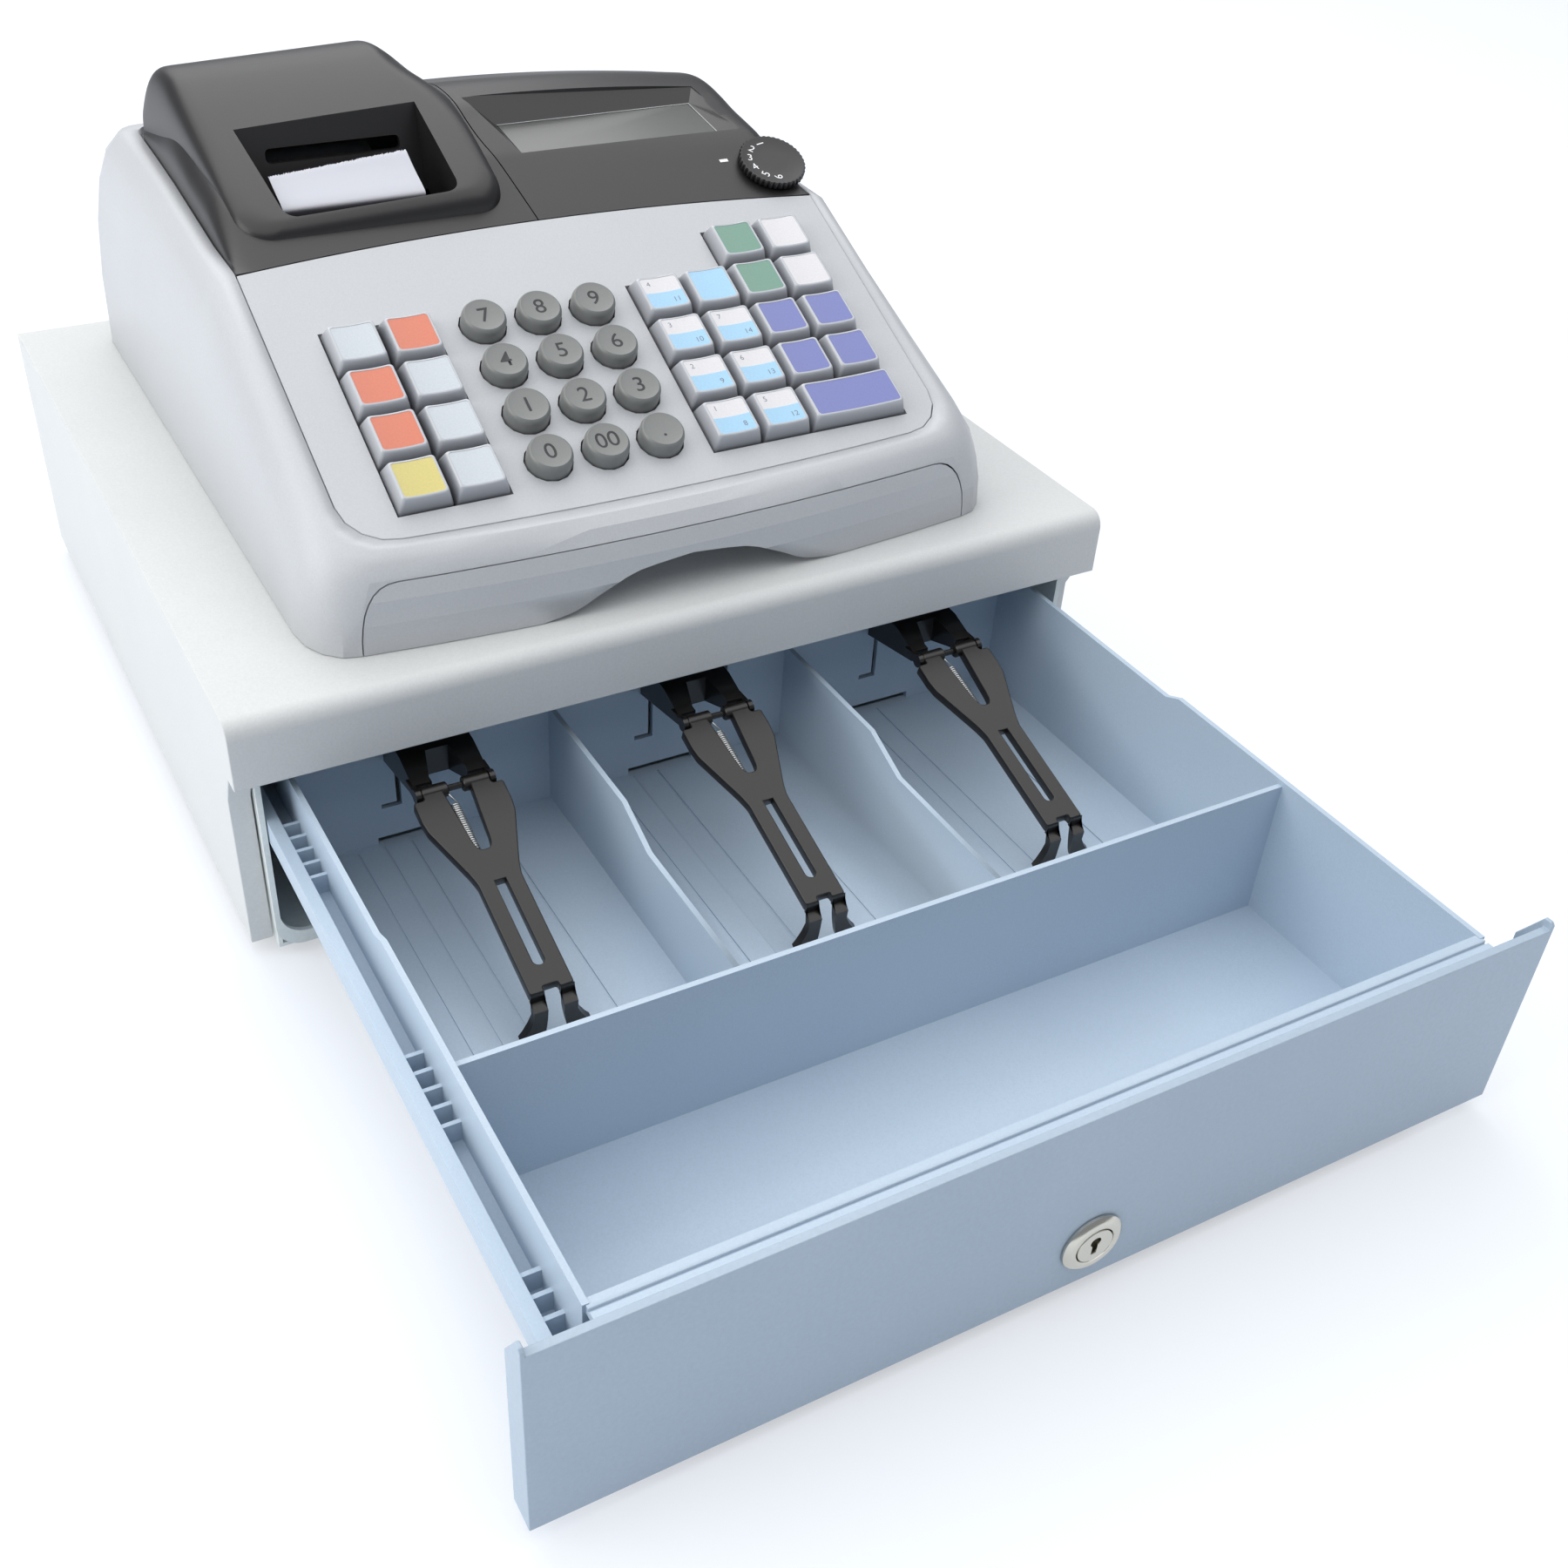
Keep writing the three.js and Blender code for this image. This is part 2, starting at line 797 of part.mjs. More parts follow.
function trayRail(side) {
  const channelTop = lid - tray.channelDrop;
  const railTop = lid - tray.railDrop;
  const railInner = railHalf - tray.railWidth;
  const front = stripFront;
  const outline = [
    [wallHalf - tray.wall / 2, railUnderside],
    [railHalf, railUnderside],
    [railHalf, railTop],
    [railInner, railTop],
    [railInner, channelTop],
    [wallHalf - tray.wall / 2, channelTop],
  ];
  const sided = side < 0 ? outline.map(([x, z]) => [-x, z]).reverse() : outline;
  const ribs = [];
  const groupStarts = [front + tray.ribThickness, tray.crossWall - tray.ribPitch,
    tray.rimStepBack + tray.crossWall / 2];
  const ribEnds = sideways(side, wallHalf - tray.wall / 2, railInner + tray.railWidth / 2);
  for (const start of groupStarts) {
    for (const i of rangeOf(tray.ribCount)) {
      const y = start + i * tray.ribPitch;
      ribs.push(box(ribEnds[0], ribEnds[1], y, y + tray.ribThickness, channelTop - tray.channelFloor / 2,
        railTop - tray.floorGrooveDepth));
    }
  }
  return join(alongY(sided, front, tray.railEnd - gap), ribs);
}

function trayWallSlots(x) {
  const wallFront = tray.backWall - overrun;
  const wallBack = tray.backWall + tray.wall + overrun;
  const edge = x - wallSlot.offset;
  const upright = box(edge - wallSlot.width, edge, wallFront, wallBack,
    lid - wallSlot.bottom, lid - wallSlot.top);
  const hook = box(edge - wallSlot.reach, edge, wallFront, wallBack, lid - wallSlot.bottom,
    lid - wallSlot.bottom + wallSlot.width);
  const foot = box(x - wallSlot.footReach, x + wallSlot.footReach / 2, wallFront, wallBack, trayFloor,
    trayFloor + wallSlot.footHeight);
  return join(upright, hook, foot);
}

function trayFloorGrooves(x) {
  const places = grooveShares.map((share) => x + share * tray.floorGroovePitch);
  return places.map((place) => box(place - tray.floorGroove / 2, place + tray.floorGroove / 2,
    tray.crossWall + tray.wall * 2, tray.backWall - tray.wall, trayFloor - tray.floorGrooveDepth,
    trayFloor + overrun));
}

function cashTray() {
  const floorHalf = wallHalf - gap;
  const floor = box(-floorHalf, floorHalf, tray.frontFoot - tray.wall + gap, tray.backWall + tray.wall - gap,
    trayBottom, trayFloor);
  const cross = box(-wallReach, wallReach, tray.crossWall, tray.crossWall + tray.wall, wallFoot,
    lid - tray.crossWallDrop);
  const back = box(-wallReach, wallReach, tray.backWall, tray.backWall + tray.wall, wallFoot,
    lid - tray.backWallDrop);
  const sides = [traySideWall(-wallHalf, -trayHalf), traySideWall(trayHalf, wallHalf)];
  const dividers = [-1, 1].map((side) => trayDivider(side * trayHalf * trayShares.divider));
  const whole = join(floor, cross, back, sides, dividers, trayFrontWall(), trayRail(-1), trayRail(1));
  const windowLeft = bracket.width / 2 + wallSlot.width;
  const window = box(windowLeft, windowLeft + wallSlot.window, tray.backWall - overrun,
    tray.backWall + tray.wall + overrun, lid - wallSlot.top - wallSlot.window, lid - wallSlot.top);
  return cut(whole, clipPlaces.map(trayWallSlots), clipPlaces.flatMap(trayFloorGrooves), window);
}

function lockBarrel() {
  const bezel = roundBar("y", lock.bezelRadius, -lock.proud, -gap, lock.across, lockHeight, 32);
  const barrel = roundBar("y", lock.barrelRadius, -lock.proud, lock.barrelEnd, lock.across, lockHeight, 24);
  const bore = roundBar("y", lock.plugRadius + gap, -lock.proud - overrun, lock.barrelEnd + overrun,
    lock.across, lockHeight, 24);
  return cut(join(bezel, barrel), bore);
}

// The plug turns about its own axis, so it is drawn on the origin.
function lockPlug() {
  const face = -lock.proud;
  const camFront = lock.barrelEnd + gap;
  const plug = roundBar("y", lock.plugRadius, face, camFront + lock.camThickness, 0, 0, 24);
  const cam = box(0, lock.camLength, camFront, camFront + lock.camThickness,
    -lock.camHalfWidth, lock.camHalfWidth);
  const slot = box(-lock.keyWidth / 2, lock.keyWidth / 2, face - overrun, face + lock.keyDepth,
    -lock.keyHeight / 2, lock.keyHeight / 2);
  const hole = roundBar("y", lock.keyRadius, face - overrun, face + lock.keyDepth, 0, lock.keyHeight / 4, 12);
  return cut(join(plug, cam), slot, hole);
}

// Bill clips, drawn about their hinge with the arm level and pointing forward

function armOutline() {
  const half = clip.shoulder / 2;
  const waist = clip.waist / 2;
  const right = [
    [waist, -clip.length], [waist, -clip.waistPlace], [half, -clip.shoulderEnd], [half, -clip.shoulderStart],
  ];
  const left = right.map(([x, y]) => [-x, y]).reverse();
  return [...left, ...right];
}

// Opening that narrows from one half width to another, with a round end.
function taperedOpening(start, end, width, endWidth) {
  const radius = endWidth / 2;
  const shape = new THREE.Shape();
  shape.moveTo(width / 2, -start);
  shape.lineTo(-width / 2, -start);
  shape.lineTo(-radius, radius - end);
  shape.absarc(0, radius - end, radius, Math.PI, 2 * Math.PI, false);
  return shape;
}

function clipFoot() {
  const half = clip.waist / 2;
  const inner = clip.notchWidth / 2;
  const low = -clip.footHeight;
  const prong = [
    [inner, clip.thickness / 2], [half, clip.thickness / 2], [half, low * footShares.flare],
    [half + clip.footFlare, low], [half - inner / 2, low], [inner, low * footShares.fork],
  ];
  const mirrored = prong.map(([x, z]) => [-x, z]).reverse();
  return join([prong, mirrored].map((outline) => alongY(outline, -clip.footThickness, 0)));
}

function billClip() {
  const thick = clip.thickness / 2;
  const plate = alongZ(armOutline(), -thick, thick);
  const openings = [
    taperedOpening(clip.vStart, clip.vEnd, clip.vWidth, clip.vEndWidth),
    taperedOpening(clip.slotStart, clip.slotEnd, clip.slotWidth, clip.slotWidth),
  ].map((outline) => alongZ(outline, -thick - overrun, thick + overrun, 4));
  const notch = box(-clip.notchWidth / 2, clip.notchWidth / 2, -clip.length - overrun, -clip.notchStart,
    -thick - overrun, thick + overrun);
  const barrels = [];
  const bores = [];
  const links = [];
  for (const side of [-1, 1]) {
    const ends = sideways(side, clip.barrelInner, clip.barrelInner + clip.barrelLength);
    barrels.push(roundBar("x", clip.barrelRadius, ends[0], ends[1], 0, 0, 10));
    bores.push(roundBar("x", clip.pinRadius + gap, ends[0] - gap, ends[1] + gap, 0, 0, 8));
    const linkEnds = sideways(side, clip.vWidth / 2, clip.barrelInner + clip.barrelLength);
    links.push(box(linkEnds[0], linkEnds[1], -clip.vStart - thick, 0, -thick, thick));
  }
  const tilt = new THREE.Matrix4().makeRotationX(-clip.slope * degree);
  const foot = clipFoot().transform([...tilt.elements])
    .translate([0, -clip.length + clip.footThickness, 0]);
  const arm = cut(join(plate, barrels, links), openings, notch, bores);
  return join(arm, foot, clipSpring());
}

// One unbroken wire: a close coil, then a straight tail to the hook on the arm.
function springPath() {
  const turn = springSteps;
  const points = [];
  for (const i of rangeOf(spring.curls * turn + 1)) {
    const angle = (i / turn) * 2 * Math.PI;
    points.push(new THREE.Vector3(
      spring.across + spring.radius * Math.cos(angle),
      -spring.start - (i / turn) * spring.pitch,
      -spring.radius * Math.sin(angle) - clip.thickness / 4,
    ));
  }
  const coilEnd = points[points.length - 1];
  const hook = -clip.slotStart + clip.slotWidth / 2;
  points.push(new THREE.Vector3(coilEnd.x, coilEnd.y - spring.pitch, coilEnd.z));
  points.push(new THREE.Vector3(spring.across, hook, -clip.thickness / 4));
  return points;
}

function tubeAlong(points, radius, sides) {
  const rings = [];
  let normal = null;
  points.forEach((point, i) => {
    const before = points[Math.max(i - 1, 0)];
    const after = points[Math.min(i + 1, points.length - 1)];
    const tangent = after.clone().sub(before).normalize();
    const guess = normal || new THREE.Vector3(0, 0, 1);
    normal = guess.clone().addScaledVector(tangent, -guess.dot(tangent)).normalize();
    const side = tangent.clone().cross(normal);
    rings.push(rangeOf(sides).map((k) => {
      const angle = (k / sides) * 2 * Math.PI;
      return point.clone()
        .addScaledVector(normal, radius * Math.cos(angle))
        .addScaledVector(side, radius * Math.sin(angle));
    }));
  });
  const places = rings.flat().flatMap((p) => [p.x, p.y, p.z]);
  const faces = [];
  for (let r = 0; r + 1 < rings.length; r++) {
    for (let i = 0; i < sides; i++) {
      const a = r * sides + i;
      const b = r * sides + ((i + 1) % sides);
      faces.push(a, b, b + sides, a, b + sides, a + sides);
    }
  }
  const last = (rings.length - 1) * sides;
  for (let i = 1; i + 1 < sides; i++) {
    faces.push(0, i + 1, i);
    faces.push(last, last + i, last + i + 1);
  }
  return solid(indexed(places, faces));
}

function clipSpring() {
  return tubeAlong(springPath(), spring.wire, springSides);
}

// The least gap of a spring to itself, measured on its path, one turn apart or more.
function springGap() {
  const path = springPath();
  let least = Infinity;
  path.forEach((a, i) => {
    for (let j = i + springSteps - 1; j < path.length; j++) {
      least = Math.min(least, a.distanceTo(path[j]) - 2 * spring.wire);
    }
  });
  return least;
}

function clipBracket() {
  const half = bracket.width / 2;
  const reach = tray.backWall - clip.hinge - gap;
  const body = alongX([
    [bracket.bodyStart, -bracket.frontRise * 2],
    [reach, -bracket.depthBelow],
    [reach, bracket.topRise],
    [reach * bracketShares.brow, bracket.topRise * bracketShares.browRise],
    [bracket.bodyStart, bracket.frontRise],
  ], -half, half);
  const fingers = [];
  const inner = clip.barrelInner + clip.barrelLength + gap;
  for (const side of [-1, 1]) {
    const ends = sideways(side, inner, inner + bracket.fingerWidth);
    fingers.push(roundBar("x", clip.barrelRadius, ends[0], ends[1], 0, 0, 14));
    fingers.push(box(ends[0], ends[1], 0, bracket.bodyStart * 2, -bracket.frontRise, bracket.frontRise));
  }
  const pinEnd = inner + bracket.fingerWidth / 2;
  const pin = roundBar("x", clip.pinRadius, -pinEnd, pinEnd, 0, 0, 10);
  const notch = taperedOpening(-bracket.bodyStart - bracket.notchDepth, -bracket.bodyStart + overrun,
    bracket.notchWidth * bracketShares.notchFront, bracket.notchWidth);
  const notchBody = alongZ(notch, -bracket.depthBelow - overrun, bracket.topRise + overrun);
  return join(cut(body, notchBody), fingers, pin);
}

// Register casing

const tilt = board.tilt * degree;
const slopeRise = Math.tan(tilt);
const rimFront = board.back - board.length * Math.cos(tilt);
const coverRun = skirt.rimBack - board.back;

function planeRise(y) {
  return board.rise + (y - board.back) * slopeRise;
}

const rimTable = rimShares.map(([run, rise]) => [board.back + run * coverRun,
  mix(board.rise, top.rimRise, rise)]);

function rimRise(y) {
  return y <= board.back ? planeRise(y) : smooth(rimTable, y);
}

// Half outline of the casing on the lid and at its rim, from the front to the back.
function halfOutlines(inset) {
  const foot = [];
  const rim = [];
  const frontSteps = 4;
  const cornerSteps = 4;
  const rimCorner = skirt.rimHalf - skirt.rimRadius;
  const along = Math.cos(tilt);
  for (const i of rangeOf(frontSteps + 1)) {
    const share = (i + 0.5) / (frontSteps + 0.5);
    foot.push([skirt.cornerStart * share, skirt.front + skirt.frontBow * share ** 2]);
    rim.push([rimCorner * share, rimFront - skirt.rimBow * (1 - share ** 2)]);
  }
  const footEnd = skirt.front + skirt.frontBow;
  for (let i = 1; i <= cornerSteps; i++) {
    const angle = (i / cornerSteps) * (Math.PI / 2);
    foot.push([mix(skirt.cornerStart, skirt.halfWidth, Math.sin(angle)),
      mix(footEnd, skirt.cornerEnd, 1 - Math.cos(angle))]);
    rim.push([rimCorner + skirt.rimRadius * Math.sin(angle),
      rimFront + skirt.rimRadius * along * (1 - Math.cos(angle))]);
  }
  const rimCornerEnd = rimFront + skirt.rimRadius * along;
  const sideShares = [0.34, 0.66, 1];
  for (const share of sideShares) {
    const y = mix(rimCornerEnd, board.back, share);
    foot.push([skirt.halfWidth, mix(skirt.cornerEnd, board.back, share)]);
    rim.push([skirt.rimHalf, y]);
  }
  const rimBackCorner = skirt.rimBack - skirt.rimBackRadius;
  const footBackCorner = skirt.back - skirt.backRadius;
  const rearShares = [0.2, 0.4, 0.6, 0.8, 1];
  for (const share of rearShares) {
    foot.push([skirt.halfWidth, mix(board.back, footBackCorner, share)]);
    rim.push([skirt.rimHalf, mix(board.back, rimBackCorner, share)]);
  }
  for (let i = 1; i <= cornerSteps; i++) {
    const angle = (i / cornerSteps) * (Math.PI / 2);
    foot.push([skirt.halfWidth - skirt.backRadius * (1 - Math.cos(angle)),
      footBackCorner + skirt.backRadius * Math.sin(angle)]);
    rim.push([skirt.rimHalf - skirt.rimBackRadius * (1 - Math.cos(angle)),
      rimBackCorner + skirt.rimBackRadius * Math.sin(angle)]);
  }
  return { foot: insetHalf(foot, inset), rim: insetHalf(rim, inset), outerRim: rim };
}

// Moves a half outline inwards, square to itself.
function insetHalf(points, inset) {
  return points.map(([x, y], i) => {
    const before = points[i - 1] || [-x, y];
    const after = points[i + 1] || [-x, y];
    const run = [after[0] - before[0], after[1] - before[1]];
    const length = Math.hypot(...run);
    return [x - (run[1] / length) * inset, y + (run[0] / length) * inset];
  });
}

function wholeRing(half, rise) {
  const right = half.map(([x, y], i) => new THREE.Vector3(x, y, rise(i)));
  const left = right.map((point) => new THREE.Vector3(-point.x, point.y, point.z)).reverse();
  return [...right, ...left];
}

// Skirt's body from the lid to the rim, filled, with its wall taken off by the inset.
function skirtBody(inset, drop, bottomRise, steps = shoulderSteps) {
  const { foot, rim, outerRim } = halfOutlines(inset);
  const rings = [];
  for (const step of rangeOf(steps + 1)) {
    const angle = (step / steps) * (Math.PI / 2);
    const up = Math.sin(angle) ** (2 / shoulderPower);
    const inward = 1 - Math.cos(angle) ** (2 / shoulderPower);
    const half = foot.map((point, i) => [mix(point[0], rim[i][0], inward), mix(point[1], rim[i][1], inward)]);
    rings.push(wholeRing(half, (i) => mix(bottomRise, rimRise(outerRim[i][1]) - drop, up)));
  }
  return ringSolid(rings);
}

// Upright body inside the rim, from a drop below it upwards.
function rimBody(inset, drop, height) {
  const { rim, outerRim } = halfOutlines(inset);
  const rings = [-drop, height].map((shift) => wholeRing(rim, (i) => rimRise(outerRim[i][1]) + shift));
  return ringSolid(rings);
}

const ledgeDrop = board.thickness + gap;

function skirtShell() {
  const outer = skirtBody(0, 0, gap);
  const inner = skirtBody(skirt.wall, ledgeDrop + skirt.ledgeThickness, -overrun, innerSteps);
  const pocket = rimBody(0, ledgeDrop, overrun);
  const well = rimBody(skirt.ledge, ledgeDrop + skirt.ledgeThickness * 3, overrun);
  return cut(outer, inner, pocket, well);
}

function apronOutline(inset) {
  const half = bottom.apronHalf - inset;
  const topHalf = bottom.apronTopHalf - inset;
  const rise = bottom.apronRise - inset;
  const shape = new THREE.Shape();
  shape.moveTo(-half, -overrun);
  shape.lineTo(half, -overrun);
  shape.lineTo(half, 0);
  shape.quadraticCurveTo(half, rise, topHalf, rise);
  shape.lineTo(-topHalf, rise);
  shape.quadraticCurveTo(-half, rise, -half, 0);
  return shape;
}

function archOutline(grow) {
  const right = archShares.map(([across, rise]) => [across * bottom.archHalf, rise * bottom.archRise + grow]);
  const curve = new THREE.SplineCurve(right.map(([x, z]) => new THREE.Vector2(x, z)));
  const points = curve.getPoints(12).map((point) => [point.x + (point.x > 0 ? grow : 0), point.y]);
  const left = points.slice(1).map(([x, z]) => [-x, z]).reverse();
  const end = points[points.length - 1][0];
  return [[-end, -overrun], [end, -overrun], ...points.slice().reverse(), ...left.reverse()];
}

const hingeAxis = {
  y: skirt.rimBack - top.hingeBack - top.knuckleRadius,
  z: top.rimRise - top.knuckleRadius,
};
const knucklePlaces = [hump.leftBack + top.knuckleInset, hump.right - top.knuckleInset - top.knuckleLength];

// Ends of the two ears that hold each knuckle's pin.
function earEnds(x) {
  const end = x + top.knuckleLength;
  return [[x - gap - top.earWidth, x - gap], [end + gap, end + gap + top.earWidth]];
}

// Trough in the ledge, where the printer cover's back edge turns.
function hingeTrough() {
  const radius = top.knuckleRadius * Math.SQRT2 + gap;
  return roundBar("x", radius, hump.leftBack - gap, hump.right + gap, hingeAxis.y, hingeAxis.z)
    .intersect(rimBody(0, radius * 2, radius * 2));
}

function hingeEars() {
  const ledgeBottom = top.rimRise - ledgeDrop - skirt.ledgeThickness;
  const linkTop = ledgeBottom + skirt.ledgeThickness / 2;
  return knucklePlaces.flatMap((x) => {
    const ears = earEnds(x).flatMap(([from, to]) => [
      roundBar("x", top.knuckleRadius, from, to, hingeAxis.y, hingeAxis.z, 12),
      box(from, to, hingeAxis.y, skirt.rimBack, ledgeBottom, linkTop),
    ]);
    const pin = roundBar("x", top.pinRadius, x - gap * 2, x + top.knuckleLength + gap * 2,
      hingeAxis.y, hingeAxis.z, 10);
    return [...ears, pin];
  });
}

function upperCase() {
  const shell = cut(skirtShell(), alongY(apronOutline(0), 0, bottom.apronCut, 8));
  const gland = roundBar("y", skirt.glandRadius, skirt.back - skirt.wall * 2, skirt.back + skirt.glandLength,
    skirt.glandAcross, skirt.glandHeight, 20);
  const bore = roundBar("y", skirt.glandBore, skirt.back - overrun * 3, skirt.back + overrun * 3,
    skirt.glandAcross, skirt.glandHeight, 12);
  return join(cut(join(shell, gland), bore, hingeTrough()), hingeEars());
}

function bottomCase() {
  const apron = skirtShell().intersect(alongY(apronOutline(seam), 0, bottom.apronCut, 8));
  const { foot } = halfOutlines(skirt.wall + 2 * seam);
  const plateTop = gap + bottom.plate;
  const plate = ringSolid([gap, plateTop].map((rise) => wholeRing(foot, () => rise)));
  const nearer = halfOutlines(skirt.wall / 2).foot;
  const bridge = ringSolid([gap, plateTop].map((rise) => wholeRing(nearer, () => rise)));
  const bridgeHalf = bottom.apronHalf - 2 * seam;
  const bridgeCut = box(-bridgeHalf, bridgeHalf, 0, bottom.apronCut, 0, plateTop + gap);
  const vaultBack = bottom.archDepth + bottom.archWall;
  const vault = alongY(archOutline(bottom.archWall), skirt.front + skirt.wall, vaultBack)
    .intersect(skirtBody(skirt.wall / 2, 0, gap));
  const arch = alongY(archOutline(0), -overrun, bottom.archDepth);
  const posts = printerPosts(gap, printer.rise - gap);
  return join(cut(join(apron, plate, bridge.intersect(bridgeCut), vault), arch), posts);
}

// Keyboard, drawn on its own plane: x across, y up the slope from the dark covers' edge, z off the plane

const squareColumns = {
  left: rangeOf(2).map((i) => keys.leftColumn + i * keys.pitch),
  right: rangeOf(4).map((i) => keys.rightColumn + i * keys.pitch),
};
const rowPlace = (row) => -keys.bottomRow + row * keys.pitch;
const boardUnderside = -(keys.skirt + keys.travel + gap * 2);
const guideTop = Math.min(-board.wellDepth, boardUnderside);
const guideBottom = guideTop - board.guide;

// Wells as [left, right, front, back] around whole blocks of keys.
function wellBoxes(margin) {
  const reach = keys.base / 2 + keys.wellMargin + margin;
  const around = (columns, firstRow, lastRow) => [columns[0] - reach, columns[columns.length - 1] + reach,
    rowPlace(firstRow) - reach, rowPlace(lastRow) + reach];
  return [
    around(squareColumns.left, 0, 3),
    around(squareColumns.right, 0, 3),
    around(squareColumns.right.slice(2), 3, 4),
  ];
}

function roundPlaces() {
  const places = [];
  for (const row of rangeOf(4)) {
    for (const column of rangeOf(3)) {
      places.push([keys.roundMiddle + (column - 1) * keys.roundPitchAcross,
        -keys.bottomRow + row * keys.roundPitchAlong]);
    }
  }
  return places;
}

function squarePlaces() {
  const left = rangeOf(4).flatMap((row) => squareColumns.left.map((x) => [x, rowPlace(row)]));
  const right = rangeOf(5).flatMap((row) => squareColumns.right
    .filter((x, column) => !(row === 4 && column < 2) && !(row === 0 && column > 1))
    .map((x) => [x, rowPlace(row)]));
  return { left, right, wide: [(squareColumns.right[2] + squareColumns.right[3]) / 2, rowPlace(0)] };
}

// Outline of the panel in its own plane.
function boardOutline() {
  const along = 1 / Math.cos(tilt);
  const { rim } = halfOutlines(seam);
  const half = rim.filter(([, y]) => y < board.back - seam).map(([x, y]) => [x, (y - board.back) * along]);
  const edge = rangeOf(9).map((i) => {
    const x = mix(half[half.length - 1][0], 0, i / 8);
    return [x, edgeAlong(x)];
  });
  const right = [...half, ...edge];
  const left = right.slice(0, -1).map(([x, y]) => [-x, y]).reverse();
  return [...right, ...left];
}

// Front edge of the dark covers on the plane, a shallow arc.
function edgeAlong(x) {
  return mix(board.crownSag, -board.edgeSag, (x / skirt.rimHalf) ** 2);
}

function keyboardPanel() {
  const upright = new THREE.Matrix4().set(1, 0, 0, 0, 0, 1, slopeRise, 0, 0, 0, 1, 0, 0, 0, 0, 1);
  const plate = alongZ(boardOutline(), -board.thickness, 0).transform([...upright.elements]);
  const trays = wellBoxes(board.wellWall).map(([x0, x1, y0, y1]) => box(x0, x1, y0, y1, guideBottom, -gap));
  const roundGuide = box(squareColumns.left[1], squareColumns.right[0], -keys.bottomRow - keys.pitch / 2,
    rowPlace(3) + keys.pitch / 2, guideBottom, guideTop);
  const wells = wellBoxes(0).map(([x0, x1, y0, y1]) => box(x0, x1, y0, y1, guideTop, overrun));
  const roundHoles = roundPlaces().map(([x, y]) => roundBar("z", keys.roundHole,
    -board.thickness - keys.roundEdge, overrun, x, y, roundSides));
  const { left, right, wide } = squarePlaces();
  const stemHoles = [...left, ...right, wide, ...roundPlaces()].map(([x, y]) => roundBar("z",
    keys.stemRadius + gap, guideBottom - overrun, guideTop + gap, x, y, stemSides));
  const pillarX = keys.leftColumn - keys.pitch / 4;
  const pillarTop = guideTop - gap;
  const pillars = [];
  for (const [x, rows] of [[pillarX, [0, 3]], [squareColumns.right[3] + keys.pitch / 4, [0, 4]]]) {
    for (const row of rows) {
      const y = rowPlace(row) + keys.pitch * pillarShare;
      pillars.push(roundBar("z", board.pillarRadius, boardTop + gap, pillarTop, x, y, 10));
    }
  }
  return cut(join(plate, trays, roundGuide, pillars), wells, roundHoles, stemHoles);
}

// Pillars stand between the rows of keys, this share of the pitch up from a row
const pillarShare = 0.4;
const boardTop = -(keys.skirt + keys.stemLength + keys.travel + gap * 2);

function circuitBoard() {
  return box(-circuit.halfWidth, circuit.halfWidth, -circuit.front, -circuit.back,
    boardTop - circuit.thickness, boardTop);
}

// A square or wide key: a skirt, sides that draw in, and a top hollowed across its width.
function squareKey(columns) {
  const extra = (columns - 1) * keys.pitch;
  const across = rangeOf(5).map((i) => i / 2 - 1);
  const ring = (width, length, rise, dish) => {
    const front = across.map((share) => new THREE.Vector3(share * (width + extra) / 2, -length / 2,
      rise - dish * (1 - share * share)));
    const back = across.map((share, i) => new THREE.Vector3(front[i].x, length / 2, front[i].z)).reverse();
    return [...front, ...back];
  };
  const cap = ringSolid([
    ring(keys.base, keys.base, -keys.skirt, 0),
    ring(keys.base, keys.base, 0, 0),
    ring(keys.topWidth, keys.topLength, keys.proud, keys.dish),
  ]);
  return join(cap, keyStem());
}

function keyStem() {
  return roundBar("z", keys.stemRadius, -keys.skirt - keys.stemLength, gap - keys.skirt, 0, 0, stemSides);
}

function roundKey() {
  const profile = [
    [0, -keys.skirt],
    [keys.roundRadius, -keys.skirt],
    [keys.roundRadius, keys.proud - keys.roundEdge],
    [keys.roundTopRadius, keys.proud],
    [0, keys.proud - keys.dish],
  ].map(([radius, rise]) => new THREE.Vector2(radius, rise));
  const cap = new THREE.LatheGeometry(profile, roundSides);
  cap.rotateX(Math.PI / 2);
  return join(solid(cap), keyStem());
}

// Dark covers

const seamTable = seamShares.map(([run, way]) => [board.back + run * coverRun,
  mix(top.seamFront, top.seamBack, way)]);
const crownRun = skirt.rimBack - top.planeEnd;
const crownTable = crownShares.map(([run, rise]) => [top.planeEnd + run * crownRun,
  mix(planeRise(top.planeEnd), top.crestRise, rise)]);

function seamPlace(y) {
  return smooth(seamTable, y);
}

function crownRise(y) {
  return y <= top.planeEnd ? planeRise(y) : smooth(crownTable, y);
}

// Height of the dark surface: the crown sinks a little sideways and rounds down to the rim.
function coverRise(x, y, inset) {
  const share = Math.min(Math.abs(x) / skirt.rimHalf, 1);
  const [from, to] = crownBlendShares.map((run) => top.planeEnd + run * crownRun);
  const behind = THREE.MathUtils.smoothstep(y, from, to);
  const crown = Math.max(crownRise(y) - top.crownDrop * behind * share ** 2, rimRise(y)) - inset;
  const start = skirt.rimHalf - seam - inset - top.shoulder;
  const beyond = THREE.MathUtils.clamp((Math.abs(x) - start) / top.shoulder, 0, 1);
  const round = (1 - beyond ** shoulderPower) ** (1 / shoulderPower);
  return mix(rimRise(y) - inset, crown, round);
}

const coverEdge = (x) => board.back + edgeAlong(x) * Math.cos(tilt) + seam;

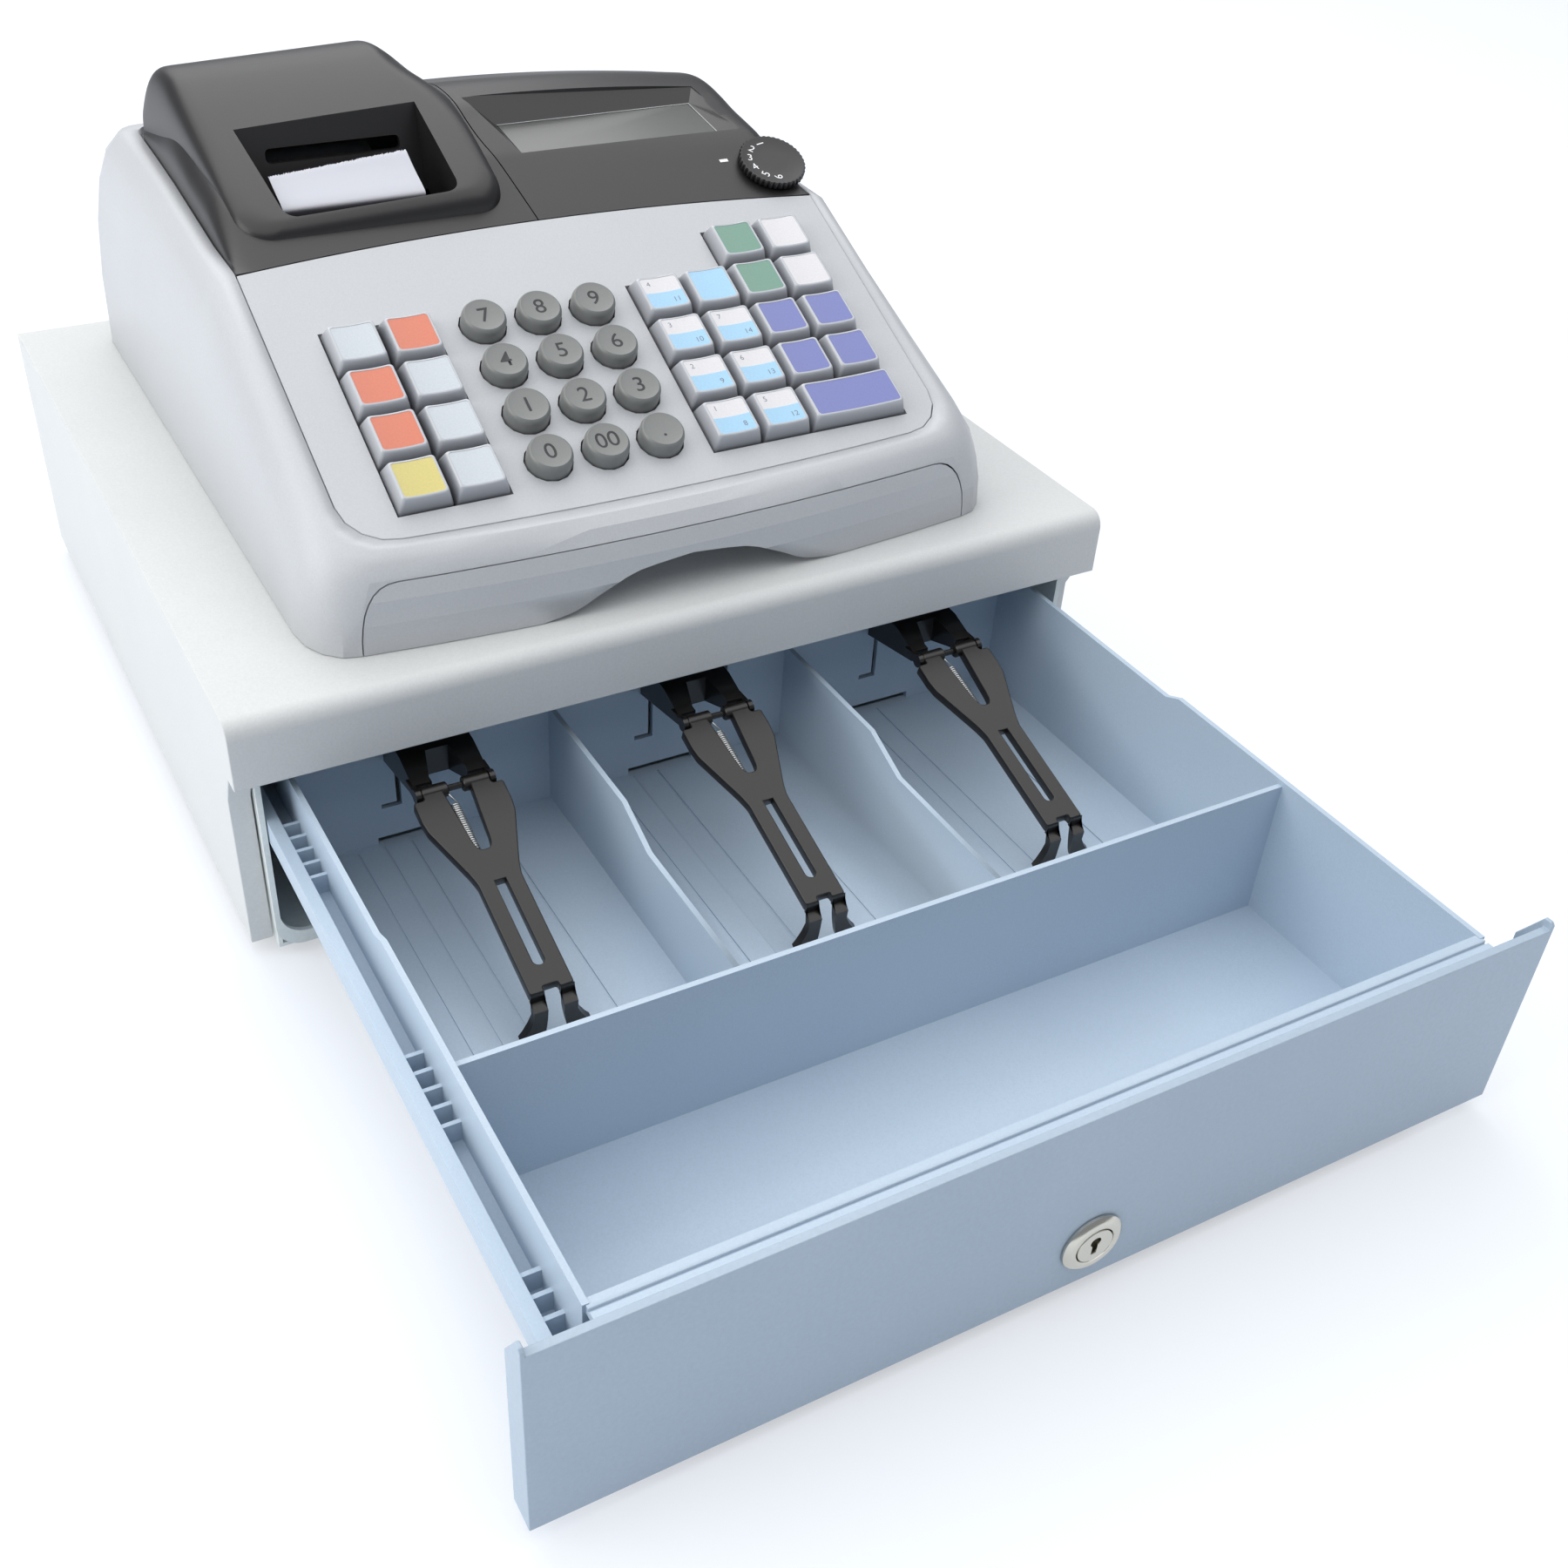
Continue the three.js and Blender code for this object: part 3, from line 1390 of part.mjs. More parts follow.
// Columns of a dark cover: shares of the way from the seam to the shoulder, then over the shoulder
const innerShares = [0, 0.25, 0.5, 0.75];
const outerShares = [0, 0.1, 0.2, 0.32, 0.45, 0.6, 0.78, 1];
// Rows of a dark cover: shares of its run to the back
const runShares = [0, 0.08, 0.17, 0.27, 0.34, 0.42, 0.5, 0.58, 0.66, 0.74, 0.81, 0.87, 0.92, 0.96, 1];
const spreadPower = 0.6;

// Body of a dark cover over the places between its seam and its side.
function coverBody(side, inset, coverBack, depth) {
  const outerHalf = skirt.rimHalf - seam - inset;
  const shoulderStart = outerHalf - top.shoulder;
  const columns = [...innerShares.map((inner) => ({ inner })), ...outerShares.map((outer) => ({ outer }))];
  const place = (column, run) => {
    const front = coverEdge(side * outerHalf) + inset;
    const guess = mix(front, coverBack - inset, run);
    const inside = seamPlace(guess) + side * (seam / 2 + inset);
    const x = column.inner === undefined
      ? side * mix(shoulderStart, outerHalf, column.outer ** spreadPower)
      : mix(inside, side * shoulderStart, column.inner);
    return [x, mix(coverEdge(x) + inset, coverBack - inset, run)];
  };
  return gridSolid(side > 0 ? columns : columns.reverse(), runShares, (column, run, face) => {
    const [x, y] = place(column, run);
    return [x, y, face === 0 ? coverRise(x, y, inset) : rimRise(y) - depth];
  });
}

// Upright body inside the rim that both covers stay in.
function coverBounds() {
  return rimBody(seam, board.thickness, top.crestRise);
}

function coverShell(side, coverBack) {
  const outer = coverBody(side, 0, coverBack, board.thickness + seam).intersect(coverBounds());
  const inner = coverBody(side, top.wall, coverBack, board.thickness + overrun);
  return { outer, shell: cut(outer, inner) };
}

// Printer hump as rings: front rows, sides and back, drawn in and raised level by level
const humpBack = skirt.rimBack - top.hingeBack;
const humpRun = humpBack - hump.front;
const humpMiddle = (hump.windowLeft + hump.windowRight) / 2;
const humpTable = humpShares.map(([run, rise]) => [hump.front + run * humpRun,
  mix(hump.frontRise, hump.crestRise, rise)]);

// Height of the hump's top, which falls a little to the left.
function humpRise(x, y) {
  return smooth(humpTable, y) + hump.fall * (x - humpMiddle) / (hump.right - hump.left);
}

// Rows from front to back: shares of the run. Levels from foot to top: shares of the rounding and the rise.
const humpRowShares = [0, 0.012, 0.045, 0.1, 0.2, 0.3, 0.4, 0.55, 0.65, 0.75, 0.82, 0.88, 0.93, 0.97, 1];
const levelShares = [[0, 0], [0.02, 0.3], [0.08, 0.55], [0.2, 0.76], [0.45, 0.93], [1, 1]];
const innerLevelShares = [[0, 0], [0.2, 0.76], [1, 1]];

function humpRings(inset, drop, footDrop, levels = levelShares) {
  const corner = hump.cornerRun / humpRun;
  const rows = humpRowShares.map((share) => {
    const turn = Math.min(share / corner, 1);
    const inCorner = hump.cornerRun * (1 - Math.sqrt(1 - (1 - turn) ** 2));
    const rightEdge = Math.min(hump.right, seamPlace(hump.front + share * humpRun) - seam);
    const slope = THREE.MathUtils.smoothstep(share, ...humpSlopeShares);
    const leftEdge = mix(hump.left, hump.leftBack, share);
    return { share, slope, left: leftEdge + inCorner, right: rightEdge - inCorner };
  });
  const leftWay = (row, inward) => hump.leftRound * inward;
  const rightWay = (row, inward) =>
    mix(hump.rightRound, hump.rightRoundBack, row.slope) * inward ** mix(1, humpSlopePower, row.slope);
  return levels.map(([inward, up]) => {
    const points = (edge, sign, way) => rows.map((row) => {
      const frontShift = hump.frontRound * inward + inset;
      const y = mix(hump.front + frontShift, humpBack - inset, row.share);
      const x = row[edge] + sign * (way(row, inward) + inset);
      const foot = coverRise(x, y, 0) - hump.embed - footDrop;
      return new THREE.Vector3(x, y, mix(foot, Math.max(humpRise(x, y) - drop, foot + gap), up));
    });
    return [...points("right", -1, rightWay), ...points("left", 1, leftWay).reverse()];
  });
}

function pocketOutline(grow) {
  const faceRise = hump.crestRise + overrun;
  return [
    [hump.pocketFront - grow, hump.pocketRise - grow],
    [hump.pocketBack + grow, hump.pocketRise - grow],
    [hump.windowBack + grow, smooth(humpTable, hump.windowBack)],
    [hump.windowBack + grow + overrun / 2, faceRise],
    [hump.windowFront - grow, faceRise],
    [hump.windowFront - grow, smooth(humpTable, hump.windowFront)],
  ];
}

// What comes off the cover's lower back edge, so that it is round about the hinge.
function coverEdgeTrim() {
  const ends = [hump.leftBack - overrun, hump.right + overrun];
  const corner = box(...ends, hingeAxis.y, skirt.rimBack + overrun, hingeAxis.z - top.knuckleRadius - overrun,
    hingeAxis.z + top.knuckleRadius / 2);
  return cut(corner, roundBar("x", top.knuckleRadius, ends[0] - overrun, ends[1] + overrun,
    hingeAxis.y, hingeAxis.z));
}

// Plan of the printer cover, whose back corner is round enough to turn clear of the rim.
function printerCoverPlan() {
  const front = board.back - board.crownSag - top.backCorner;
  const right = hump.right + 2 * top.backCorner;
  const plan = rounded(seam - skirt.rimHalf, right, front, humpBack, top.backCorner);
  return alongZ(plan, 0, hump.crestRise + overrun);
}

function knuckleBores() {
  return knucklePlaces.map((x) => roundBar("x", top.knuckleBore, x - gap, x + top.knuckleLength + gap,
    hingeAxis.y, hingeAxis.z, 12));
}

// Room in the cover for the ears on both sides of each knuckle.
function earSpaces() {
  return knucklePlaces.flatMap((x) => {
    const [[start], [, end]] = earEnds(x);
    return [[start - gap, x], [x + top.knuckleLength, end + gap]]
      .map(([from, to]) => roundBar("x", top.knuckleRadius + gap, from, to, hingeAxis.y, hingeAxis.z, 12));
  });
}

function printerCover() {
  const { shell } = coverShell(-1, humpBack);
  const humpOuter = ringSolid(humpRings(0, 0, 0)).intersect(coverBounds());
  const humpInner = ringSolid(humpRings(top.wall, top.wall, overrun * 2, innerLevelShares));
  const corner = hump.windowCorner;
  const plan = alongZ(rounded(hump.windowLeft, hump.windowRight, hump.windowFront,
    hump.windowBack + overrun * 2, corner), 0, hump.crestRise + overrun);
  const pocket = alongX(pocketOutline(0), hump.windowLeft, hump.windowRight).intersect(plan);
  const underHump = ringSolid(humpRings(0, 0, overrun * 4));
  const pocketWalls = alongX(pocketOutline(top.wall), hump.windowLeft - top.wall, hump.windowRight + top.wall)
    .intersect(underHump);
  const slot = alongY(rounded(hump.slotLeft, hump.slotRight, hump.slotBottom, hump.slotTop, corner / 2),
    hump.pocketBack - overrun, hump.windowBack + overrun);
  const slotMiddle = paperPlace(hump.pocketRise - top.wall / 2) + paper.thickness / 2;
  const paperSlot = box(paper.left - gap * 2, paper.left + paper.width + gap * 2,
    slotMiddle - hump.paperSlot / 2, slotMiddle + hump.paperSlot / 2,
    hump.pocketRise - top.wall - overrun, hump.pocketRise + gap);
  const knuckles = knucklePlaces.map((x) => roundBar("x", top.knuckleRadius, x, x + top.knuckleLength,
    hingeAxis.y, hingeAxis.z, 16));
  const cavity = cut(humpInner, pocketWalls);
  const closed = join(shell, humpOuter).intersect(printerCoverPlan());
  const body = join(cut(closed, cavity, coverEdgeTrim()), pocketWalls, knuckles);
  return cut(body, pocket, slot, paperSlot, knuckleBores(), earSpaces());
}

function recessBody() {
  const up = overrun * 2;
  const floor = [
    [display.left, display.front, display.frontRise],
    [display.right, display.front, display.frontRise],
    [display.right, display.back, display.backRise],
    [display.left - (display.left - display.recessLeftBack) / 2, display.back, display.backRise],
  ];
  const mouth = [
    [display.left - gap, display.front - gap, display.frontRise + gap],
    [display.recessRight, display.front - gap, display.frontRise + gap * 2],
    [display.recessRightBack, display.recessBack, display.recessRightBackRise],
    [display.recessLeftBack, display.recessBack, display.recessBackRise],
  ];
  const rings = [floor, mouth, mouth.map(([x, y, z]) => [x, y, z + up])];
  return ringSolid(rings.map((ring) => ring.map(([x, y, z]) => new THREE.Vector3(x, y, z))));
}

// A plate parallel to the display's floor: from its lower face to its upper face, below that floor.
function displayPlate(margin, upper, lower) {
  const slope = (display.backRise - display.frontRise) / (display.back - display.front);
  const y0 = display.front - margin;
  const y1 = display.back + margin;
  const rise = (y) => display.frontRise + (y - display.front) * slope;
  const outline = [
    [y0, rise(y0) - lower], [y1, rise(y1) - lower], [y1, rise(y1) - upper], [y0, rise(y0) - upper],
  ];
  return alongX(outline, display.left - margin, display.right + margin);
}

function displayCover() {
  const { shell } = coverShell(1, skirt.rimBack - seam);
  const backing = displayPlate(display.flange + top.wall, 0, display.thickness);
  const walls = coverShell(1, skirt.rimBack - seam).outer
    .intersect(alongX([
      [display.front - top.wall, display.frontRise - display.thickness],
      [display.recessBack + top.wall, display.backRise - display.thickness],
      [display.recessBack + top.wall, top.crestRise + overrun],
      [display.front - top.wall, top.crestRise + overrun],
    ], display.recessLeftBack - top.wall, display.recessRight + top.wall));
  const pocket = displayPlate(display.flange, top.wall / 2, display.thickness + overrun);
  const window = displayPlate(-gap, -overrun, display.thickness + overrun);
  const hole = roundBar("z", dial.shaftHole, -overrun * 2, overrun * 2, dial.across, dial.along, 14)
    .transform([...boardMatrix().elements]);
  const whole = join(shell, walls, backing.intersect(coverShell(1, skirt.rimBack - seam).outer));
  return cut(whole, recessBody(), pocket, window, hole);
}

function displayModule() {
  const glass = displayPlate(-gap * 2, 0, display.thickness);
  const housing = displayPlate(display.flange - gap, top.wall / 2 + gap, display.thickness);
  return join(glass, housing);
}

// The dial turns about its own axis, so it is drawn on the origin, on the keyboard's plane.
function modeDial() {
  const outline = rangeOf(dial.teeth * 2).map((i) => {
    const angle = (i / (dial.teeth * 2)) * 2 * Math.PI;
    const radius = dial.radius - (i % 2) * dial.toothDepth;
    return [radius * Math.cos(angle), radius * Math.sin(angle)];
  });
  const disc = alongZ(outline, dial.lift, dial.lift + dial.height);
  const shaft = roundBar("z", dial.shaftRadius, -dial.shaftLength, dial.lift + gap, 0, 0, 14);
  return join(disc, shaft);
}

// Printer, paper and posts

function printerPosts(from, to) {
  const posts = [];
  for (const x of [printer.left + printer.postRadius * 2, printer.right - printer.postRadius * 2]) {
    for (const y of [printer.front + printer.postRadius, paper.rollPlace]) {
      posts.push(roundBar("z", printer.postRadius, from, to, x, y, 12));
    }
  }
  return posts;
}

function printerUnit() {
  const rollRight = paper.left + paper.width;
  const binBack = paper.rollPlace + paper.rollRadius + printer.binWall + gap;
  const { left, right, front, back, rise } = printer;
  const floor = box(left, right, front, binBack, rise, rise + printer.wall);
  const block = box(left, right, front, back, rise, printer.topRise);
  const exit = box(paper.left - gap * 2, rollRight + gap * 2, paper.place - printer.exit / 2,
    paper.place + printer.exit / 2, rise + printer.wall, printer.topRise + overrun);
  const platenSpace = roundBar("x", printer.platenRadius, paper.left - gap, rollRight + gap, printer.back,
    printer.topRise, 16);
  const binLeft = paper.left - gap * 2 - printer.binWall;
  const binRight = rollRight + gap * 2 + printer.binWall;
  const binTop = paper.rollRise + paper.coreRadius;
  const cheeks = [binLeft, binRight - printer.binWall]
    .map((x) => box(x, x + printer.binWall, back - gap, binBack, rise, binTop));
  const rear = box(binLeft, binRight, binBack - printer.binWall, binBack, rise, binTop);
  const cradle = alongX([
    [back - gap, rise], [binBack, rise], [binBack, paper.rollRise], [back - gap, paper.rollRise],
  ], paper.left - gap * 3, rollRight + gap * 3);
  const rollSpace = roundBar("x", paper.rollRadius + gap, paper.left - gap * 2, rollRight + gap * 2,
    paper.rollPlace, paper.rollRise + floorShift(), 28);
  return cut(join(floor, block, cheeks, rear, cradle), exit, platenSpace, rollSpace);
}

// The roll lies a little over the bin's floor.
function floorShift() {
  return Math.max(0, printer.rise + printer.wall + gap + paper.rollRadius - paper.rollRise);
}

// The roll turns about its own axis, so it is drawn on the origin.
function paperRoll() {
  const roll = roundBar("x", paper.rollRadius, paper.left, paper.left + paper.width, 0, 0, 28);
  const bore = roundBar("x", paper.coreRadius, paper.left - overrun, paper.left + paper.width + overrun,
    0, 0, 14);
  return cut(roll, bore);
}

// Front face of the receipt paper, which bows forward and curls back towards its torn edge.
function paperPlace(rise) {
  return paper.place + smooth(paperCurl, rise - paper.bottom);
}

function receiptPaper() {
  const teeth = Math.round(paper.width / paper.toothWidth / 2) * 2;
  const rowShares = [0, 0.22, 0.4, 0.54, 0.64, 0.8, 1];
  return gridSolid(rangeOf(teeth + 1), rowShares, (i, row, face) => {
    const torn = row === 1 ? (i % 2) * paper.toothHeight : 0;
    const low = row * paper.slant * (1 - i / teeth);
    const rise = mix(paper.bottom, paper.torn - low, row);
    return [paper.left + (i / teeth) * paper.width, paperPlace(rise) + face * paper.thickness, rise - torn];
  });
}

// Finishes

function finish(color, roughness, metalness = 0) {
  return new THREE.MeshStandardMaterial({ color, roughness, metalness });
}

const finishes = {
  cabinet: () => finish(0xb9c4cc, 0.5),
  base: () => finish(0xd5dad9, 0.5),
  drawer: () => finish(0x9fb0c0, 0.45),
  tray: () => finish(0xb4c0cb, 0.5),
  black: () => finish(0x211f1e, 0.35),
  steel: () => finish(0xb9bcbe, 0.3, 1),
  silver: () => finish(0xc6c9cd, 0.4),
  dark: () => finish(0x3d3b3f, 0.45),
  glass: () => finish(0x6d716a, 0.2),
  paper: () => finish(0xf1f1f4, 0.8),
  grey: () => finish(0x777a78, 0.5),
  paleKey: () => finish(0xc3cad2, 0.35),
  orangeKey: () => finish(0xe0714f, 0.35),
  yellowKey: () => finish(0xeedb55, 0.35),
  whiteKey: () => finish(0xe4e3e6, 0.35),
  greenKey: () => finish(0x5f8f7c, 0.35),
  blueKey: () => finish(0x9fd2f2, 0.35),
  indigoKey: () => finish(0x5e6cb4, 0.35),
  circuit: () => finish(0x2f6b46, 0.6),
};

function part(name, body, material) {
  const mesh = new THREE.Mesh(geometryOf(body), material);
  mesh.name = name;
  return mesh;
}

// Placing

function boardMatrix() {
  const matrix = new THREE.Matrix4().makeRotationX(tilt);
  return matrix.setPosition(0, board.back, board.rise);
}

function cabinetGroup() {
  const group = new THREE.Group();
  group.add(part("cabinet_cover", cabinetCover(), finishes.cabinet()));
  group.add(part("cabinet_base", cabinetBase(), finishes.base()));
  return group;
}

function drawerGroup() {
  const group = new THREE.Group();
  group.position.y = panel.closedSetback - panel.travel;
  group.add(part("drawer_front", drawerFront(), finishes.drawer()));
  group.add(part("cash_tray", cashTray(), finishes.tray()));
  group.add(part("lock_barrel", lockBarrel(), finishes.steel()));
  const plug = part("lock_plug", lockPlug(), finishes.steel());
  plug.position.set(lock.across, 0, lockHeight);
  group.add(plug);
  const names = ["left", "middle", "right"];
  clipPlaces.forEach((x, i) => {
    const holder = part("clip_bracket_" + names[i], clipBracket(), finishes.black());
    const arm = part("bill_clip_" + names[i], billClip(), finishes.black());
    arm.rotation.x = clip.slope * degree;
    for (const mesh of [holder, arm]) mesh.position.set(x, clip.hinge, lid - clip.hingeDrop);
    group.add(holder, arm);
  });
  return group;
}

function keyParts() {
  const digits = ["key_0", "key_00", "key_point", "key_1", "key_2", "key_3", "key_4", "key_5", "key_6",
    "key_7", "key_8", "key_9"];
  const leftLook = ["yellowKey", "paleKey", "orangeKey", "paleKey",
    "orangeKey", "paleKey", "paleKey", "orangeKey"];
  const rightLook = ["blueKey", "blueKey",
    "blueKey", "blueKey", "indigoKey", "indigoKey",
    "blueKey", "blueKey", "indigoKey", "indigoKey",
    "blueKey", "blueKey", "greenKey", "whiteKey",
    "greenKey", "whiteKey"];
  const { left, right, wide } = squarePlaces();
  const placed = [
    ...roundPlaces().map((place, i) => [digits[i], roundKey(), finishes.grey(), place]),
    ...left.map((place, i) => ["left_key_" + (i + 1), squareKey(1), finishes[leftLook[i]](), place]),
    ...right.map((place, i) => ["right_key_" + (i + 1), squareKey(1), finishes[rightLook[i]](), place]),
    ["wide_key", squareKey(2), finishes.indigoKey(), wide],
  ];
  return placed.map(([name, body, material, [x, y]]) => {
    const mesh = part(name, body, material);
    mesh.position.set(x, y, 0);
    return mesh;
  });
}

function keyboardGroup() {
  const group = new THREE.Group();
  group.rotation.x = tilt;
  group.position.set(0, board.back, board.rise);
  group.add(part("keyboard_panel", keyboardPanel(), finishes.silver()));
  group.add(part("circuit_board", circuitBoard(), finishes.circuit()));
  group.add(...keyParts());
  const knob = part("mode_dial", modeDial(), finishes.dark());
  knob.position.set(dial.across, dial.along, 0);
  group.add(knob);
  return group;
}

function registerGroup() {
  const group = new THREE.Group();
  group.position.z = lid;
  group.add(part("upper_case", upperCase(), finishes.silver()));
  group.add(part("bottom_case", bottomCase(), finishes.silver()));
  group.add(part("printer_cover", printerCover(), finishes.dark()));
  group.add(part("display_cover", displayCover(), finishes.dark()));
  group.add(part("display_module", displayModule(), finishes.glass()));
  group.add(part("printer_unit", printerUnit(), finishes.black()));
  const roll = part("paper_roll", paperRoll(), finishes.paper());
  roll.position.set(0, paper.rollPlace, paper.rollRise + floorShift());
  group.add(roll);
  group.add(part("receipt_paper", receiptPaper(), finishes.paper()));
  group.add(keyboardGroup());
  return group;
}

console.log("least gap of a clip spring to itself, mm:", springGap().toFixed(2));

const register = new THREE.Group();
const frontReach = panel.travel - panel.closedSetback + lock.proud;
register.position.y = (frontReach - cabinet.depth) / 2;
register.add(cabinetGroup(), drawerGroup(), registerGroup());

export default register;
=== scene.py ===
# %% [markdown]
# # A cash register on its cash drawer
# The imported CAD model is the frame: every piece made here sits on it and moves with one of its bodies.
# The cells go from the camera and the light to the finishes, and then from the largest parts to the smallest.

# %% Load the frame
import json
import math
import random

import bmesh
import bpy
from mathutils import Matrix, Vector

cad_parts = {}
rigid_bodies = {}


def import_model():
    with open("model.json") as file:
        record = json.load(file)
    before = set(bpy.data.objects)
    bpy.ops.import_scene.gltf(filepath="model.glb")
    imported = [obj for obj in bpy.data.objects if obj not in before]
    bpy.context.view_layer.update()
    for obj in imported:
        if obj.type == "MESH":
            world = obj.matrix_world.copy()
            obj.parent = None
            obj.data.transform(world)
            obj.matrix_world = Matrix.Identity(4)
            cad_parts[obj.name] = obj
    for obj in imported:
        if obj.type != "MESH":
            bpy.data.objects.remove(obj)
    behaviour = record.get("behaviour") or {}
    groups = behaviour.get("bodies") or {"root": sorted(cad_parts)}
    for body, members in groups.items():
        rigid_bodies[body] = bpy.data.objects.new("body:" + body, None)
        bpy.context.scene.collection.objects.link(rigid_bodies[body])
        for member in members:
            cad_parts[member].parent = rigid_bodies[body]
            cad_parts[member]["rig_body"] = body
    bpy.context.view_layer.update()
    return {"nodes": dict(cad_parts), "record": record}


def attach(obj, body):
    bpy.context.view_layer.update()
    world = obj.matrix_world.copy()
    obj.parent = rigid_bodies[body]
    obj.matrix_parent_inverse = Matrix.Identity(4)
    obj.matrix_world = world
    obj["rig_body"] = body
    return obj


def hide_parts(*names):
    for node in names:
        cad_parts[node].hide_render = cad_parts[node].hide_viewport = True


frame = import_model()
MM = 0.001

# %% [markdown]
# ## The camera
# The photograph was taken from the left front, well above the machine.
# A camera can be aimed at a point with a constraint, or its axes can be written as the columns of a matrix.
# The axes were worked out from the straight edges of the cabinet, so the matrix is used here.

# %% Camera
PHOTO_WIDTH = 1800
CAMERA_PLACE = Vector((-0.2671, -0.53815, 0.4500))
CAMERA_FORWARD = Vector((0.3995, 0.6856, -0.6086)).normalized()
CAMERA_UP_GUESS = Vector((0.260, 0.5517, 0.7924))
right = CAMERA_FORWARD.cross(CAMERA_UP_GUESS).normalized()
up = right.cross(CAMERA_FORWARD)
axes = Matrix((right, up, -CAMERA_FORWARD)).transposed()
camera = bpy.data.objects.new("photo_camera", bpy.data.cameras.new("photo_camera"))
camera.data.sensor_width = 36
camera.data.lens = 40.39
camera.data.shift_x = 0.0274
camera.data.shift_y = 0.0124
camera.data.clip_start = 0.01
camera.matrix_world = Matrix.Translation(CAMERA_PLACE) @ axes.to_4x4()
bpy.context.scene.collection.objects.link(camera)
bpy.context.scene.camera = camera
bpy.context.scene.view_settings.view_transform = "Standard"
print("focal length in pixels:", round(camera.data.lens / camera.data.sensor_width * PHOTO_WIDTH))

# %% [markdown]
# ## Small helpers for finishes
# Colours are chosen on screen as sRGB hex codes, and shaders work in linear light, so one function turns
# them round. A second function adds a shader node, sets its options and fills or links its sockets.
# The short functions after it are the steps that most finishes share.


# %% Colour and node helpers
SRGB_KNEE = 0.04045
SRGB_SLOPE = 12.92
SRGB_OFFSET = 0.055
SRGB_POWER = 2.4
NOISE_RANGE = (0.3, 0.7)


def linear(code):
    """An sRGB hex colour as linear red, green, blue and alpha."""
    parts = [int(code[i:i + 2], 16) / 255 for i in (0, 2, 4)]
    return tuple(p / SRGB_SLOPE if p <= SRGB_KNEE else ((p + SRGB_OFFSET) / (1 + SRGB_OFFSET)) ** SRGB_POWER
                 for p in parts) + (1.0,)


def add(tree, kind, inputs=None, **settings):
    """Adds a node. Settings are its options. Inputs are its sockets' values, or outputs linked to them."""
    node = tree.nodes.new(kind)
    for name, value in settings.items():
        setattr(node, name, value)
    for name, value in (inputs or {}).items():
        if isinstance(value, bpy.types.NodeSocket):
            tree.links.new(value, node.inputs[name])
        else:
            node.inputs[name].default_value = value
    return node


def empty_material(name):
    """A new material with an empty node tree, and the tree."""
    material = bpy.data.materials.new(name)
    material.use_nodes = True
    material.node_tree.nodes.clear()
    return material, material.node_tree


def patterned(name):
    """A new material, its node tree, and the Object coordinates that its patterns use."""
    material, tree = empty_material(name)
    return material, tree, add(tree, "ShaderNodeTexCoord").outputs["Object"]


def per_mm(size):
    """The scale at which a pattern repeats about every so many millimetres."""
    return 1 / (size * MM)


def noise(tree, place, size, detail, **more):
    """Noise that repeats about every so many millimetres."""
    inputs = {"Vector": place, "Scale": per_mm(size), "Detail": detail, **more}
    return add(tree, "ShaderNodeTexNoise", inputs).outputs["Fac"]


def spread(tree, value, low, high, start=0.0, end=1.0):
    """A value that runs from start to end, stretched to run from low to high."""
    return add(tree, "ShaderNodeMapRange", {"Value": value, "From Min": start, "From Max": end,
                                            "To Min": low, "To Max": high}).outputs[0]


def blend(tree, share, first, second):
    """Two sRGB colours mixed by a share."""
    return add(tree, "ShaderNodeMix", {"Factor": share, "A": linear(first), "B": linear(second)},
               data_type="RGBA").outputs["Result"]


def toned(tree, value, colour):
    """A colour made lighter or darker by a value."""
    return add(tree, "ShaderNodeHueSaturation", {"Value": value, "Color": colour}).outputs["Color"]


def relief(tree, height, depth, strength):
    """The bump that a pattern makes, with its depth in millimetres."""
    return add(tree, "ShaderNodeBump", {"Height": height, "Distance": depth * MM,
                                        "Strength": strength}).outputs["Normal"]


def surfaced(material, tree, colour, roughness, **more):
    """Ends a material with the surface shader. In the names of further sockets, _ stands for a space."""
    inputs = {"Base Color": colour, "Roughness": roughness}
    inputs.update({name.replace("_", " "): value for name, value in more.items()})
    shader = add(tree, "ShaderNodeBsdfPrincipled", inputs)
    add(tree, "ShaderNodeOutputMaterial", {"Surface": shader.outputs["BSDF"]})
    return material


print("mid grey in linear light:", [round(v, 3) for v in linear("808080")])

# %% [markdown]
# ## Floor and light
# The object stands on white paper under soft, even light that comes mostly from the left and from above.
# A white room would do, but large area lamps and a plain world are quicker and stay clean.
# The floor is seen by the camera as nearly white, and its diffuse share keeps the shadow under the drawer.


# %% Floor
FLOOR_HALF = 4.0
FLOOR_GLOW = 0.45


def white_paper():
    """Matt white paper: what the camera sees of it is mostly plain white, and the rest takes the shadow."""
    material, tree = empty_material("white_paper")
    rays = add(tree, "ShaderNodeLightPath")
    seen = rays.outputs["Is Camera Ray"]
    for kind in ("Is Glossy Ray", "Is Transmission Ray"):
        seen = add(tree, "ShaderNodeMath", {0: seen, 1: rays.outputs[kind]}, operation="MAXIMUM").outputs[0]
    share = add(tree, "ShaderNodeMath", {0: seen, 1: FLOOR_GLOW}, operation="MULTIPLY")
    paper = add(tree, "ShaderNodeBsdfDiffuse", {"Color": linear("eef4fd")})
    glow = add(tree, "ShaderNodeEmission", {"Color": linear("ffffff"), "Strength": 1.0})
    both = add(tree, "ShaderNodeMixShader", {0: share.outputs[0], 1: paper.outputs[0], 2: glow.outputs[0]})
    add(tree, "ShaderNodeOutputMaterial", {"Surface": both.outputs[0]})
    return material


